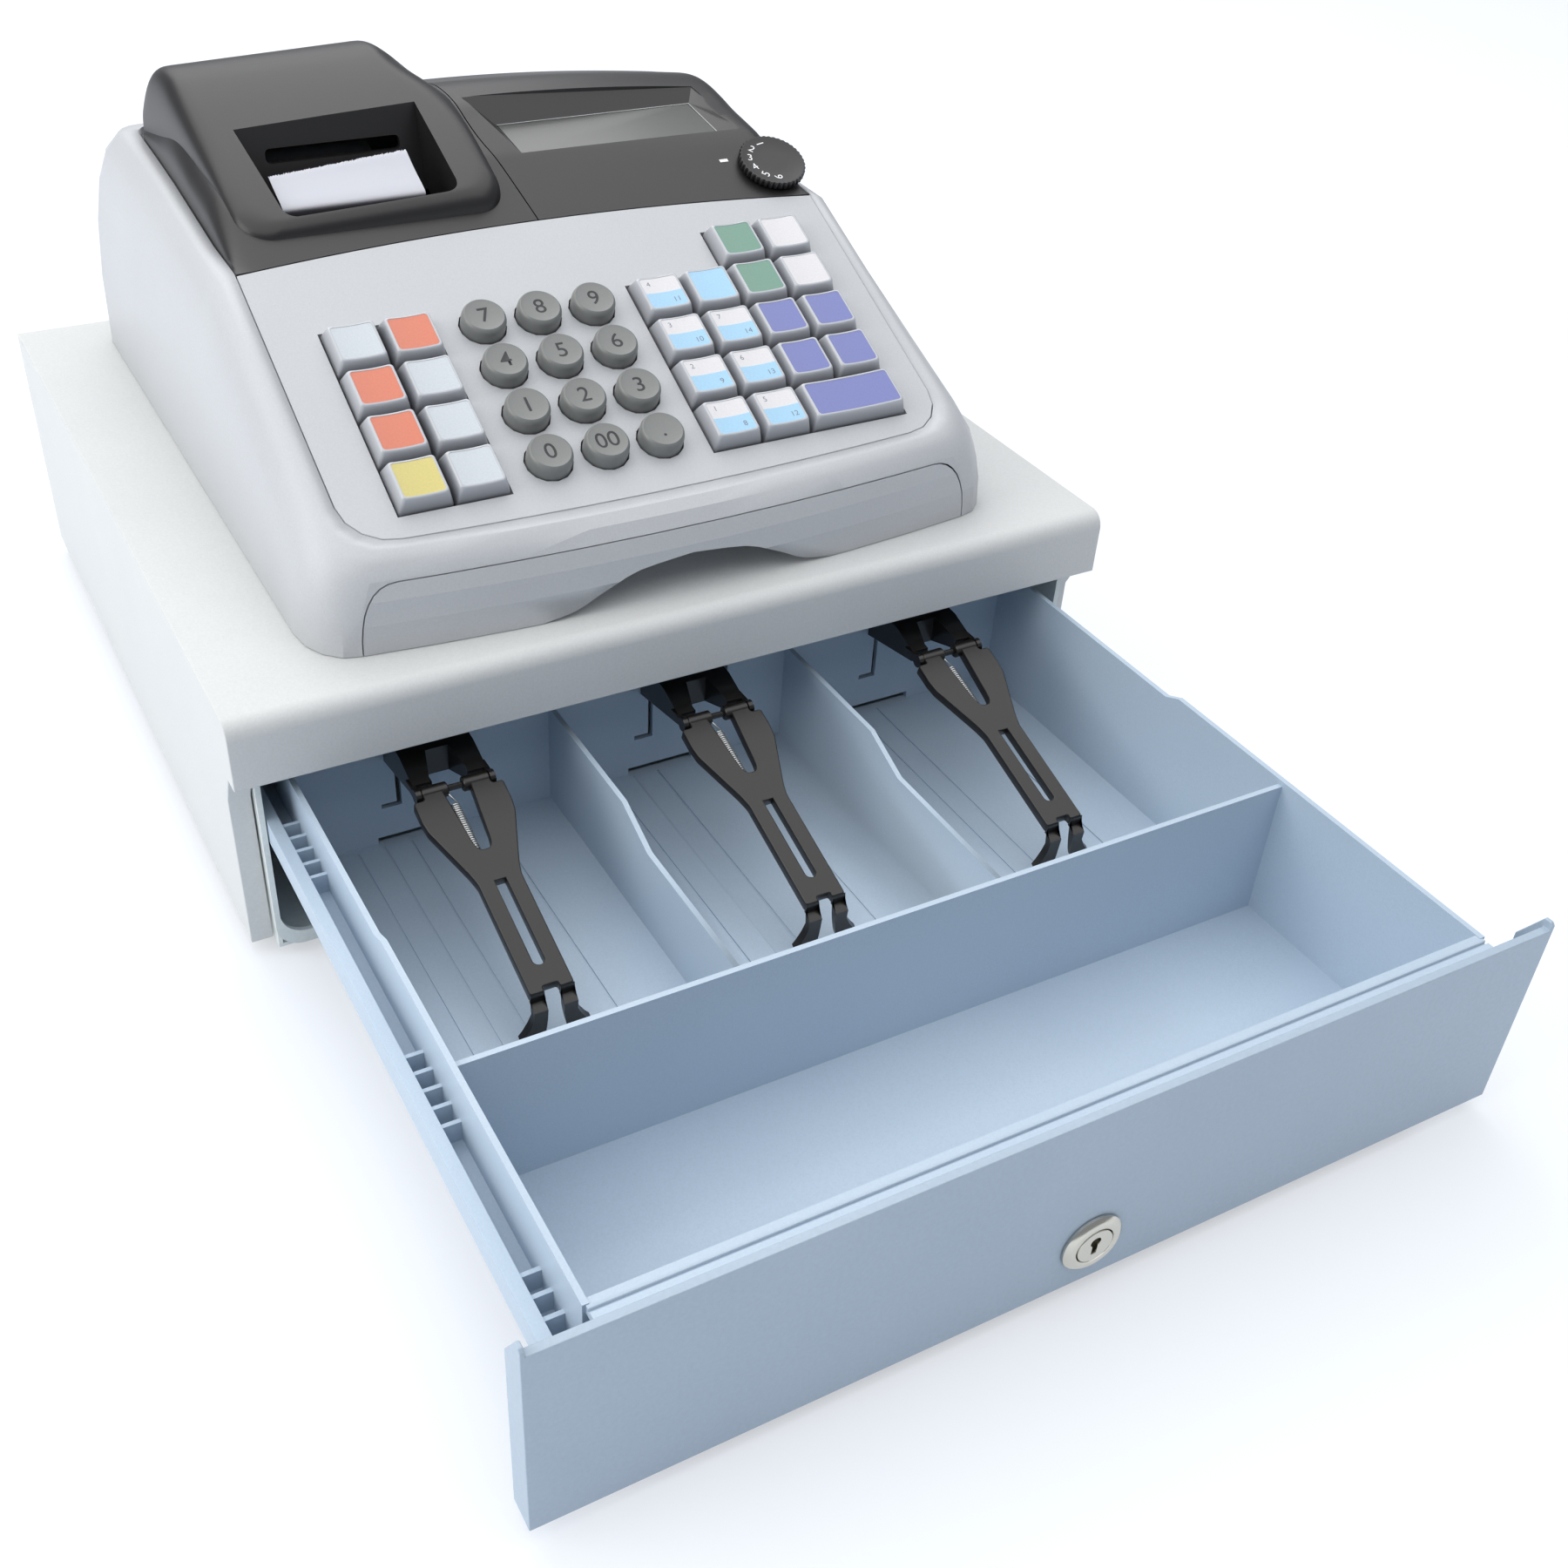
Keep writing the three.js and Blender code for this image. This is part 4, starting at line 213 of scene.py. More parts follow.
floor_mesh = bpy.data.meshes.new("floor")
corners = [(x * FLOOR_HALF, y * FLOOR_HALF, 0) for x, y in ((-1, -1), (1, -1), (1, 1), (-1, 1))]
floor_mesh.from_pydata(corners, [], [(0, 1, 2, 3)])
floor_mesh.materials.append(white_paper())
floor = bpy.data.objects.new("floor", floor_mesh)
bpy.context.scene.collection.objects.link(floor)
print("floor:", 2 * FLOOR_HALF, "m wide")


# %% World and lamps
def plain_world():
    """An even white surrounding: weak as light, full white where it is seen."""
    world = bpy.data.worlds.new("white_room")
    world.use_nodes = True
    tree = world.node_tree
    tree.nodes.clear()
    rays = add(tree, "ShaderNodeLightPath")
    light = add(tree, "ShaderNodeBackground", {"Color": linear("f4f8ff"), "Strength": 0.34})
    seen = add(tree, "ShaderNodeBackground", {"Color": linear("ffffff"), "Strength": 1.0})
    both = add(tree, "ShaderNodeMixShader", {0: rays.outputs["Is Camera Ray"], 1: light.outputs[0],
                                             2: seen.outputs[0]})
    add(tree, "ShaderNodeOutputWorld", {"Surface": both.outputs[0]})
    return world


def soft_lamp(name, place, aim, size, power, colour):
    """A square lamp of that size in metres, turned towards a point."""
    data = bpy.data.lights.new(name, "AREA")
    data.shape = "SQUARE"
    data.size = size
    data.energy = power
    data.color = linear(colour)[:3]
    lamp = bpy.data.objects.new(name, data)
    lamp.location = place
    lamp.rotation_euler = (Vector(aim) - Vector(place)).to_track_quat("-Z", "Y").to_euler()
    bpy.context.scene.collection.objects.link(lamp)
    return lamp


bpy.context.scene.world = plain_world()
lamps = [
    soft_lamp("back_window", (0.1, 2.1, 1.9), (0, 0, 0.1), 2.2, 20, "ffffff"),
    soft_lamp("left_window", (-1.7, 0.1, 0.9), (0, 0, 0.1), 1.4, 19, "fffdf8"),
    soft_lamp("ceiling", (0.0, 0.1, 2.1), (0, 0, 0.1), 4.2, 76, "ffffff"),
]
print("lamps:", [lamp.name for lamp in lamps])

# %% [markdown]
# ## Finishes
# Each material starts from what the real surface is and how it was made.
# Patterns use Object coordinates, in which one unit is one metre.


# %% Painted steel
CLOUD_SIZE = 45


def powder_coat(name, colour, shade, grain, depth, roughness):
    """Powder-coated sheet steel. The powder melts into a film with a fine orange peel, and pales a little
    where it is thin. Colour and shade are close to each other. Grain and depth are in millimetres."""
    material, tree, place = patterned(name)
    peel = noise(tree, place, grain, 3.0, Roughness=0.6)
    mixed = blend(tree, noise(tree, place, CLOUD_SIZE, 2.0), colour, shade)
    tone = toned(tree, spread(tree, peel, 0.955, 1.03, *NOISE_RANGE), mixed)
    return surfaced(material, tree, tone, roughness, IOR=1.5, Normal=relief(tree, peel, depth, 0.6))


finishes = {
    "cabinet_paint": powder_coat("powder_coat_cabinet", "c6c8c9", "cbcdcc", 0.9, 0.05, 0.5),
    "base_paint": powder_coat("powder_coat_base", "d3dad9", "d9dfdd", 1.4, 0.02, 0.42),
    "drawer_paint": powder_coat("wet_paint_drawer", "9eafbf", "a5b5c4", 1.6, 0.012, 0.4),
}
print("painted steel:", list(finishes))


# %% Moulded plastics
FLOW_SIZE = 60


def moulded_plastic(name, colour, shade, grain, depth, roughness):
    """Injection-moulded plastic. The mould's spark-eroded skin leaves a fine even grain, and a colour that
    hardly varies. Grain and depth are in millimetres."""
    material, tree, place = patterned(name)
    grains = noise(tree, place, grain, 2.0, Roughness=0.55)
    mixed = blend(tree, noise(tree, place, FLOW_SIZE, 1.0), colour, shade)
    tone = toned(tree, spread(tree, grains, 0.96, 1.03, *NOISE_RANGE), mixed)
    return surfaced(material, tree, tone, roughness, IOR=1.53, Normal=relief(tree, grains, depth, 0.6))


finishes.update({
    "tray_plastic": moulded_plastic("styrene_tray", "a9bacb", "b1c1d0", 0.7, 0.008, 0.42),
    "silver_plastic": moulded_plastic("abs_silver", "b5b7bb", "babdc0", 0.7, 0.03, 0.42),
    "dark_plastic": moulded_plastic("abs_dark", "19181a", "1c1b1c", 0.8, 0.03, 0.38),
    "black_plastic": moulded_plastic("nylon_black", "131211", "181615", 0.5, 0.01, 0.24),
    "grey_key": moulded_plastic("abs_key_grey", "747675", "797b7a", 0.5, 0.012, 0.4),
    "board_laminate": moulded_plastic("glass_laminate", "2f6b46", "2b6040", 0.6, 0.01, 0.3),
})
print("finishes so far:", len(finishes))

# %% [markdown]
# ## Welded copies of the CAD shells
# The CAD's faces are flat triangles. A copy whose points are welded can be shaded smooth between its sharp
# edges, and a narrow bevel gives those edges the small round that every painted or moulded edge has.

# %% Refine a CAD node
WELD = 0.002 * MM
FLAT_ENOUGH = math.radians(0.4)
SHARP_ANGLE = math.radians(40)
BEVEL_STEPS = 2


def only(mesh, *materials):
    """Gives a mesh these materials and no others. Clearing the list also makes each face forget which of
    them it uses, so a list that is empty already is left alone."""
    if len(mesh.materials):
        mesh.materials.clear()
    for material in materials:
        mesh.materials.append(material)


def link_piece(name, mesh, body, matrix=None, node_name=None):
    """Puts a mesh into the scene as a piece that rides on a body. It can stand for a CAD node, which it
    hides.
    """
    piece = bpy.data.objects.new(name, mesh)
    bpy.context.scene.collection.objects.link(piece)
    if matrix is not None:
        piece.matrix_world = matrix
    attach(piece, body)
    if node_name:
        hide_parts(node_name)
    return piece


def refined(node_name, finish, crease=33, edge=0.0, flat=False):
    """A welded, smoothly shaded copy of a CAD node that replaces it. Crease is in degrees, edge in
    millimetres. Flat keeps the shading of large flat faces even beside small ones."""
    node = frame["nodes"][node_name]
    mesh = node.data.copy()
    shape = bmesh.new()
    shape.from_mesh(mesh)
    bmesh.ops.remove_doubles(shape, verts=shape.verts, dist=WELD)
    bmesh.ops.dissolve_limit(shape, angle_limit=FLAT_ENOUGH, verts=shape.verts, edges=shape.edges)
    shape.to_mesh(mesh)
    shape.free()
    only(mesh, finishes[finish])
    mesh.shade_smooth()
    mesh.set_sharp_from_angle(angle=math.radians(crease))
    piece = link_piece(node_name + "_shell", mesh, node["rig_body"])
    if edge:
        bevel = piece.modifiers.new("edge_round", "BEVEL")
        bevel.width = edge * MM
        bevel.segments = BEVEL_STEPS
        bevel.limit_method = "ANGLE"
        bevel.angle_limit = SHARP_ANGLE
        bevel.use_clamp_overlap = True
        bevel.harden_normals = True
    if flat:
        piece.modifiers.new("flat_faces", "WEIGHTED_NORMAL").keep_sharp = True
    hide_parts(node_name)
    return piece


shells = [
    refined("cabinet_cover", "cabinet_paint", edge=0.5),
    refined("cabinet_base", "base_paint"),
    refined("drawer_front", "drawer_paint", edge=0.4),
    refined("cash_tray", "tray_plastic", flat=True),
    refined("upper_case", "silver_plastic"),
    refined("bottom_case", "silver_plastic", crease=14),
    refined("keyboard_panel", "silver_plastic"),
]
print("refined shells:", [shell.name for shell in shells])

# %% [markdown]
# ## The keyboard's plane
# The keys stand on a plane that slopes 25 degrees. Working on that plane keeps every key's numbers simple:
# x runs across, y runs up the slope and z stands off the panel. One matrix carries them into the frame.

# %% Places on the keyboard
BOARD_TILT = math.radians(25)
BOARD_ORIGIN = Vector((0, 99.65, 203.3))
board_matrix = Matrix.Translation(BOARD_ORIGIN * MM) @ Matrix.Rotation(BOARD_TILT, 4, "X")
KEY_PITCH = 21.4
KEY_BASE = 20.4
KEY_TOP = (17.2, 16.8)
KEY_PROUD = 6.3
KEY_SKIRT = 4.4
KEY_DISH = 0.7
CARD_DEPTH = 0.15
FIRST_ROW = -109.25
FIRST_LEFT = -91.5
FIRST_RIGHT = 32.2
ROUND_MIDDLE = -18.9
ROUND_PITCH = (22.5, 22.2)
LEFT_COLUMNS = [FIRST_LEFT + KEY_PITCH * i for i in range(2)]
RIGHT_COLUMNS = [FIRST_RIGHT + KEY_PITCH * i for i in range(4)]
ROUND_COLUMNS = [ROUND_MIDDLE + ROUND_PITCH[0] * i for i in (-1, 0, 1)]


def on_board(x, y):
    """The matrix of a place on the keyboard, in millimetres."""
    return board_matrix @ Matrix.Translation(Vector((x, y, 0)) * MM)


def square_places():
    """Every square key's name, place and width in columns."""
    left = [(x, FIRST_ROW + row * KEY_PITCH) for row in range(4) for x in LEFT_COLUMNS]
    right = [(x, FIRST_ROW + row * KEY_PITCH) for row in range(5) for column, x in enumerate(RIGHT_COLUMNS)
             if not (row == 4 and column < 2) and not (row == 0 and column > 1)]
    places = [(f"left_key_{i + 1}", place, 1) for i, place in enumerate(left)]
    places += [(f"right_key_{i + 1}", place, 1) for i, place in enumerate(right)]
    return places + [("wide_key", (sum(RIGHT_COLUMNS[2:]) / 2, FIRST_ROW), 2)]


print("square keys:", len(square_places()))

# %% [markdown]
# ## Square keys
# A square key is a pale base with a clear acrylic cap snapped over it, and a printed card between the two.
# The cap could be a real clear shell, which is slow and noisy to render on 25 small keys.
# Here the card lies a little below a bright rim and both carry a clear coat, which reads the same.


# %% Acrylic and card
ACRYLIC_IOR = 1.49


def acrylic(name, colour, roughness):
    """The moulded rim and sides of an acrylic cap over a pale base: glossy, with faint flow marks.
    Its colour is painted grey towards the foot of a key: painted shade in the gaps between the keys.
    """
    material, tree, place = patterned(name)
    height = add(tree, "ShaderNodeSeparateXYZ", {"Vector": place}).outputs["Z"]
    # Painted shade: the colour runs from grey at the foot of a key up to its own colour at the top.
    depth = spread(tree, height, 0.0, 1.0, 0.0, KEY_PROUD * MM)
    flow = noise(tree, place, 6, 2.0)
    return surfaced(material, tree, blend(tree, depth, "75777c", colour), roughness, IOR=ACRYLIC_IOR,
                    Coat_Weight=0.6, Coat_Roughness=0.05, Normal=relief(tree, flow, 0.03, 0.5))


def printed_card(name, colour):
    """Printed card under clear acrylic: a flat colour with a trace of fibre, seen through a glossy coat."""
    material, tree, place = patterned(name)
    fibre = noise(tree, place, 0.8, 4.0)
    tone = toned(tree, spread(tree, fibre, 0.96, 1.04, *NOISE_RANGE), linear(colour))
    return surfaced(material, tree, tone, 0.55, IOR=1.5, Coat_Weight=1.0, Coat_Roughness=0.12,
                    Coat_IOR=ACRYLIC_IOR)


cap_rim = acrylic("acrylic_cap_painted_shade", "b4b7bd", 0.24)
cards = {
    "pale_key": printed_card("card_pale_grey", "b9c0c7"),
    "orange_key": printed_card("card_orange", "c8694a"),
    "yellow_key": printed_card("card_yellow", "c4b766"),
    "white_key": printed_card("card_white", "cfced1"),
    "green_key": printed_card("card_green", "5b8a78"),
    "blue_key": printed_card("card_light_blue", "94c1de"),
    "indigo_key": printed_card("card_indigo", "626bab"),
}
print("cards:", list(cards))


# %% Shape of a square key
KEY_PROFILE = [(-KEY_SKIRT, 0, 1.0), (0, 0, 1.0), (2.5, 0, 1.2), (5.4, 0, 1.5), (5.95, 0.08, 1.5),
               (6.22, 0.28, 1.5), (KEY_PROUD, 0.55, 1.5), (KEY_PROUD, 0.85, 1.3),
               (KEY_PROUD - CARD_DEPTH, 0.95, 1.2)]
SIDE_BANDS = len(KEY_PROFILE) - 1
CARD_SHARES = (0.75, 0.5, 0.25)
CORNER_STEPS = 4
SIDE_STEPS = 6


def rounded_rectangle(half_x, half_y, corner):
    """Points of a rounded rectangle, anticlockwise from its right side, with extra points along its sides."""
    corners = []
    for turn, (sx, sy) in enumerate(((1, 1), (-1, 1), (-1, -1), (1, -1))):
        for i in range(CORNER_STEPS + 1):
            angle = (turn + i / CORNER_STEPS) * math.pi / 2
            corners.append(Vector((sx * (half_x - corner) + corner * math.cos(angle),
                                   sy * (half_y - corner) + corner * math.sin(angle))))
    points = []
    for i, point in enumerate(corners):
        points.append(point)
        if i % (CORNER_STEPS + 1) == CORNER_STEPS:
            after = corners[(i + 1) % len(corners)]
            points += [point.lerp(after, k / SIDE_STEPS) for k in range(1, SIDE_STEPS)]
    return points


def lofted(shape, rings, closed_top=True):
    """Joins rings of points into faces, bottom ring first, and returns the faces of each band."""
    loops = [[shape.verts.new(Vector(point) * MM) for point in ring] for ring in rings]
    bands = []
    for low, high in zip(loops, loops[1:]):
        count = len(low)
        bands.append([shape.faces.new((low[i], low[(i + 1) % count], high[(i + 1) % count], high[i]))
                      for i in range(count)])
    if closed_top:
        top = loops[-1]
        centre = shape.verts.new(sum((vert.co for vert in top), Vector()) / len(top))
        bands.append([shape.faces.new((top[i], top[(i + 1) % len(top)], centre)) for i in range(len(top))])
    return bands


def key_rings(extra):
    """A square key's outlines from its skirt to the middle of its card. Extra widens a two-column key.
    The profile lists heights, insets and corner radii."""
    half = KEY_BASE / 2
    draw = [(half - top / 2) / KEY_PROUD for top in KEY_TOP]
    rings = [(half - draw[0] * max(rise, 0) - inset + extra, half - draw[1] * max(rise, 0) - inset,
              corner, rise) for rise, inset, corner in KEY_PROFILE]
    wide, deep, corner, rise = rings[-1]
    rings += [(wide * share, deep * share, corner * share, rise) for share in CARD_SHARES]
    top_half = KEY_TOP[0] / 2 + extra
    return [[(point.x, point.y, rise - KEY_DISH * max(rise, 0) / KEY_PROUD * (1 - (point.x / top_half) ** 2))
             for point in rounded_rectangle(half_x, half_y, corner)]
            for half_x, half_y, corner, rise in rings]


node_slots = {part["node"]: part["material_slot"] for part in frame["record"]["subparts"]}


def square_key(name, place, columns, upper, lower):
    """A capped key whose card has one colour in its upper half and one in its lower half."""
    shape = bmesh.new()
    bands = lofted(shape, key_rings((columns - 1) * KEY_PITCH / 2))
    for band in bands[SIDE_BANDS:]:
        for face in band:
            face.material_index = 1 if face.calc_center_median().y > 0 else 2
    for face in shape.faces:
        face.smooth = True
    mesh = bpy.data.meshes.new(name + "_cap")
    shape.to_mesh(mesh)
    shape.free()
    only(mesh, cap_rim, upper, lower)
    mesh.set_sharp_from_angle(angle=SHARP_ANGLE)
    return link_piece(name + "_cap", mesh, name, on_board(*place), name)


SPLIT_KEYS = {1: ("1", "8"), 2: ("5", "12"), 3: ("2", "9"), 4: ("6", "13"), 7: ("3", "10"), 8: ("7", "14"),
              11: ("4", "11")}
split_names = {f"right_key_{i}" for i in SPLIT_KEYS}
for name, place, columns in square_places():
    card = cards[node_slots[name]]
    square_key(name, place, columns, cards["white_key"] if name in split_names else card, card)
print("capped keys:", len(square_places()))

# %% [markdown]
# ## Round keys and lettering
# The digit keys are one grey moulding each, round all over, so a profile is spun about the key's axis.
# Digits are printed on a hollow top. Text is made flat, and its points are then lowered onto the hollow.


# %% Spun shapes and printed letters
INK_THICKNESS = 0.03


def around(steps):
    """Angles all the way round a circle."""
    return [2 * math.pi * i / steps for i in range(steps)]


def spun(shape, profile, steps=48, axis="Z"):
    """A closed band of faces from (radius, height) points in millimetres, spun about an axis."""
    swing = {"Z": lambda r, h, a: (r * math.cos(a), r * math.sin(a), h),
             "Y": lambda r, h, a: (r * math.cos(a), h, -r * math.sin(a))}[axis]
    return lofted(shape, [[swing(radius, height, a) for a in around(steps)] for radius, height in profile])


def finished_mesh(name, shape, materials, crease=40):
    """Turns a bmesh into a smoothly shaded mesh that keeps its sharp edges."""
    bmesh.ops.recalc_face_normals(shape, faces=shape.faces)
    for face in shape.faces:
        face.smooth = True
    mesh = bpy.data.meshes.new(name)
    shape.to_mesh(mesh)
    shape.free()
    only(mesh, *materials)
    mesh.set_sharp_from_angle(angle=math.radians(crease))
    return mesh


def mesh_of(curve):
    """The mesh that a curve or a text makes. An object carries the curve while it is read."""
    carrier = bpy.data.objects.new("carrier", curve)
    mesh = bpy.data.meshes.new_from_object(carrier)
    bpy.data.objects.remove(carrier)
    return mesh


def printed(name, text, size, matrix, body, ink, drop, shift=(0, 0), bold=0.0):
    """Thin printed letters that lie on a surface: drop gives the surface's height at a place, in millimetres.
    Bold is how far their strokes grow on each side."""
    curve = bpy.data.curves.new(name, "FONT")
    curve.body = text
    curve.size = size * MM
    curve.offset = bold * MM
    curve.align_x = "CENTER"
    curve.align_y = "CENTER"
    mesh = mesh_of(curve)
    for vert in mesh.vertices:
        flat = vert.co + Vector((*shift, 0)) * MM
        height = drop(flat.x / MM, flat.y / MM)
        vert.co = (flat.x, flat.y, (height + INK_THICKNESS) * MM)
    only(mesh, ink)
    return link_piece(name, mesh, body, matrix)


def ink(name, colour):
    """Screen-printed ink: matt, with an edge that the eye sees as flat."""
    material, tree, place = patterned(name)
    mottle = noise(tree, place, 0.4, 2.0)
    return surfaced(material, tree, toned(tree, spread(tree, mottle, 0.85, 1.15), linear(colour)), 0.5)


dark_ink = ink("dark_ink", "242527")
grey_ink = ink("grey_ink", "6d7382")
white_ink = ink("white_ink", "e9e9e9")
print("inks ready")

# %% Round digit keys
ROUND_TOP = 7.6
ROUND_RADIUS = 8.6
ROUND_RIM = 0.12
ROUND_SIDE = [(0, -KEY_SKIRT), (0, 3.6), (0.08, 4.4), (0.35, 5.3), (0.75, 5.95), (1.15, 6.22)]
HOLLOW_SHARES = (0.9, 0.75, 0.6, 0.45, 0.3, 0.12)
DIGIT_SIZE = 9.6
DIGIT_BOLD = 0.04
CORNER_SIZE = 3.4
CORNER_SHIFTS = {"first": (-4.6, 4.6), "second": (4.2, -4.4)}
DIGITS = [("key_0", "0"), ("key_00", "00"), ("key_point", "."), *((f"key_{i}", str(i)) for i in range(1, 10))]


def round_top(x, y):
    """Height of a round key's hollow top at a place."""
    return KEY_PROUD - ROUND_RIM - KEY_DISH * max(0, 1 - (x * x + y * y) / ROUND_TOP ** 2)


def round_key(name, digit, place):
    """A round key with its printed digit."""
    shape = bmesh.new()
    side = [(ROUND_RADIUS - inset, rise) for inset, rise in ROUND_SIDE]
    spun(shape, side + [(ROUND_TOP * share, round_top(ROUND_TOP * share, 0)) for share in HOLLOW_SHARES])
    mesh = finished_mesh(name, shape, [finishes["grey_key"]])
    link_piece(name + "_button", mesh, name, on_board(*place), name)
    printed(name + "_digit", digit, DIGIT_SIZE, on_board(*place), name, dark_ink, round_top, bold=DIGIT_BOLD)


for i, (name, digit) in enumerate(DIGITS):
    round_key(name, digit, (ROUND_COLUMNS[i % 3], FIRST_ROW + ROUND_PITCH[1] * (i // 3)))


def card_top(x, y):
    """Height of a single key's card at a place."""
    return KEY_PROUD - CARD_DEPTH - KEY_DISH * (1 - (x / (KEY_TOP[0] / 2)) ** 2)


places = {name: place for name, place, columns in square_places()}
for i, numbers in SPLIT_KEYS.items():
    name = f"right_key_{i}"
    for number, (part, shift) in zip(numbers, CORNER_SHIFTS.items()):
        matrix = on_board(*places[name])
        printed(f"{name}_{part}", number, CORNER_SIZE, matrix, name, grey_ink, card_top, shift)
print("digit keys:", len(DIGITS), "split keys:", len(SPLIT_KEYS))

# %% [markdown]
# ## Note clips
# A note clip is one black nylon moulding: a flat arm with a V opening for its spring, a slot and a foot.
# A flat part with holes is quickest as a filled 2D curve: the curve gives its thickness and rounds its edges.
# The foot and the barrels are joined to it, and a fine steel spring is wound as a helix along the opening.


# %% Flat parts from outlines
EDGE_STEPS = 2
FILLET_SHARE = 1 / 2.2
ARC_STEPS = 12


def polyline(curve, points, closed=False):
    """Adds a line through points, in metres, to a curve."""
    line = curve.splines.new("POLY")
    line.points.add(len(points) - 1)
    for point, place in zip(line.points, points):
        point.co = (*place, 1)
    line.use_cyclic_u = closed


def flat_part(shape, outlines, low, high, edge, matrix):
    """Adds a plate with holes to a bmesh, from its outlines and the heights of its two faces."""
    curve = bpy.data.curves.new("outline", "CURVE")
    curve.dimensions = "2D"
    curve.fill_mode = "BOTH"
    curve.extrude = ((high - low) / 2 - edge) * MM
    curve.bevel_depth = edge * MM
    curve.bevel_resolution = EDGE_STEPS
    curve.offset = -edge * MM
    for outline in outlines:
        polyline(curve, [(x * MM, y * MM, 0) for x, y in outline], closed=True)
    mesh = mesh_of(curve)
    mesh.transform(matrix @ Matrix.Translation((0, 0, (low + high) / 2 * MM)))
    shape.from_mesh(mesh)
    bpy.data.meshes.remove(mesh)


def filleted(points, radius, steps=4):
    """An outline with its corners rounded. Radius is in millimetres."""
    result = []
    for i, point in enumerate(points):
        here, before, after = (Vector(points[k % len(points)]) for k in (i, i - 1, i + 1))
        reach = min(radius, (before - here).length * FILLET_SHARE, (after - here).length * FILLET_SHARE)
        start = here + (before - here).normalized() * reach
        end = here + (after - here).normalized() * reach
        for k in range(steps + 1):
            share = k / steps
            result.append(start.lerp(here, share).lerp(here.lerp(end, share), share))
    return result


def round_ended(start, end, width):
    """An opening that runs away from the hinge and closes in a round end."""
    radius = width / 2
    arc = [(radius * math.cos(a), radius - end + radius * math.sin(a))
           for a in (math.pi + math.pi * i / ARC_STEPS for i in range(ARC_STEPS + 1))]
    return [(radius, -start), (-radius, -start)] + arc


def rod(shape, radius, start, end, steps=24, edge=0.3):
    """A closed rod along X between two places, with rounded rims, added to a bmesh. All in millimetres."""
    profile = [(radius * 0.5, start), (radius - edge, start), (radius, start + edge), (radius, end - edge),
               (radius - edge, end), (radius * 0.5, end)]
    rings = [[(h, r * math.cos(a), r * math.sin(a)) for a in around(steps)] for r, h in profile]
    first = lofted(shape, rings)[0]
    shape.faces.new([face.verts[0] for face in reversed(first)])


print("corner points of a rounded square:", len(filleted([(0, 0), (1, 0), (1, 1), (0, 1)], 0.2)))


# %% Clip materials
def spring_steel():
    """Drawn spring wire: bright grey steel with faint marks along the wire."""
    material, tree, place = patterned("spring_steel_wire")
    marks = noise(tree, place, 0.6, 2.0)
    return surfaced(material, tree, linear("d8d8d6"), spread(tree, marks, 0.22, 0.36), Metallic=1.0)


spring_finish = spring_steel()
clip_finish = moulded_plastic("nylon_clip", "15120f", "1b1714", 0.6, 0.012, 0.3)
print("clip finishes ready")

# %% Clip arm, foot and spring
CLIP_PLACES = {"left": -105.3, "middle": 0, "right": 105.3}
CLIP_HINGE = (-57.85, 70)
CLIP_SLOPE = math.radians(17.9)
CLIP_LENGTH = 94
CLIP_THICK = 4.2
CLIP_EDGE = 0.45
WAIST = 7.95
SHOULDER = 16.8
FOOT_BEND = 5.0
FOOT_BEND_STEPS = 5
FOOT_REACH = 12.6
FOOT_THINNER = 0.72
FOOT_FLARES = ((0.35, 0, 0), (0.6, 0.4, 1.4), (0.85, 0.9, 3.4), (1.0, 1.4, 5.0))
BARREL = (2.9, 12.6, 2.8)
TIP = CLIP_LENGTH - FOOT_BEND
NOTCH_HALF = 2.9
NOTCH_END = 87
SLOT_RUN = (43, 79)
SLOT_WIDTH = 4.2
ARM_FILLET = 1.1
ARM_SIDE = [(NOTCH_HALF, -TIP), (WAIST, -TIP), (WAIST, -43), (WAIST + 1.2, -38), (SHOULDER - 0.6, -17),
            (SHOULDER, -12), (SHOULDER, -3.7), (BARREL[1], -3.7), (BARREL[1], -0.5), (5.3, -0.5), (4.9, -5),
            (3.4, -24), (2.9, -27.5), (1.6, -29.6)]
SPRING_CURLS = 30
SPRING_STEPS = 12
SPRING_WIRE = 0.32
SPRING_RADIUS = 1.7
SPRING_AXIS = (-2.6, -1.05)
SPRING_RUN = (7, 35)
SPRING_PIN = (-3.3, -2.2, 0.0)
SPRING_HOOK = (-2.2, -45.6, -0.2)
SPRING_TAIL = (37, 44.9)


def arm_outlines():
    """The arm seen from above, with its V opening, its slot and the notch between its prongs."""
    body = ARM_SIDE + [(-x, y) for x, y in reversed(ARM_SIDE)]
    notch = [(-NOTCH_HALF, -TIP), (-NOTCH_HALF, -NOTCH_END), (NOTCH_HALF, -NOTCH_END)]
    return [filleted(body + notch, ARM_FILLET), round_ended(*SLOT_RUN, SLOT_WIDTH)]


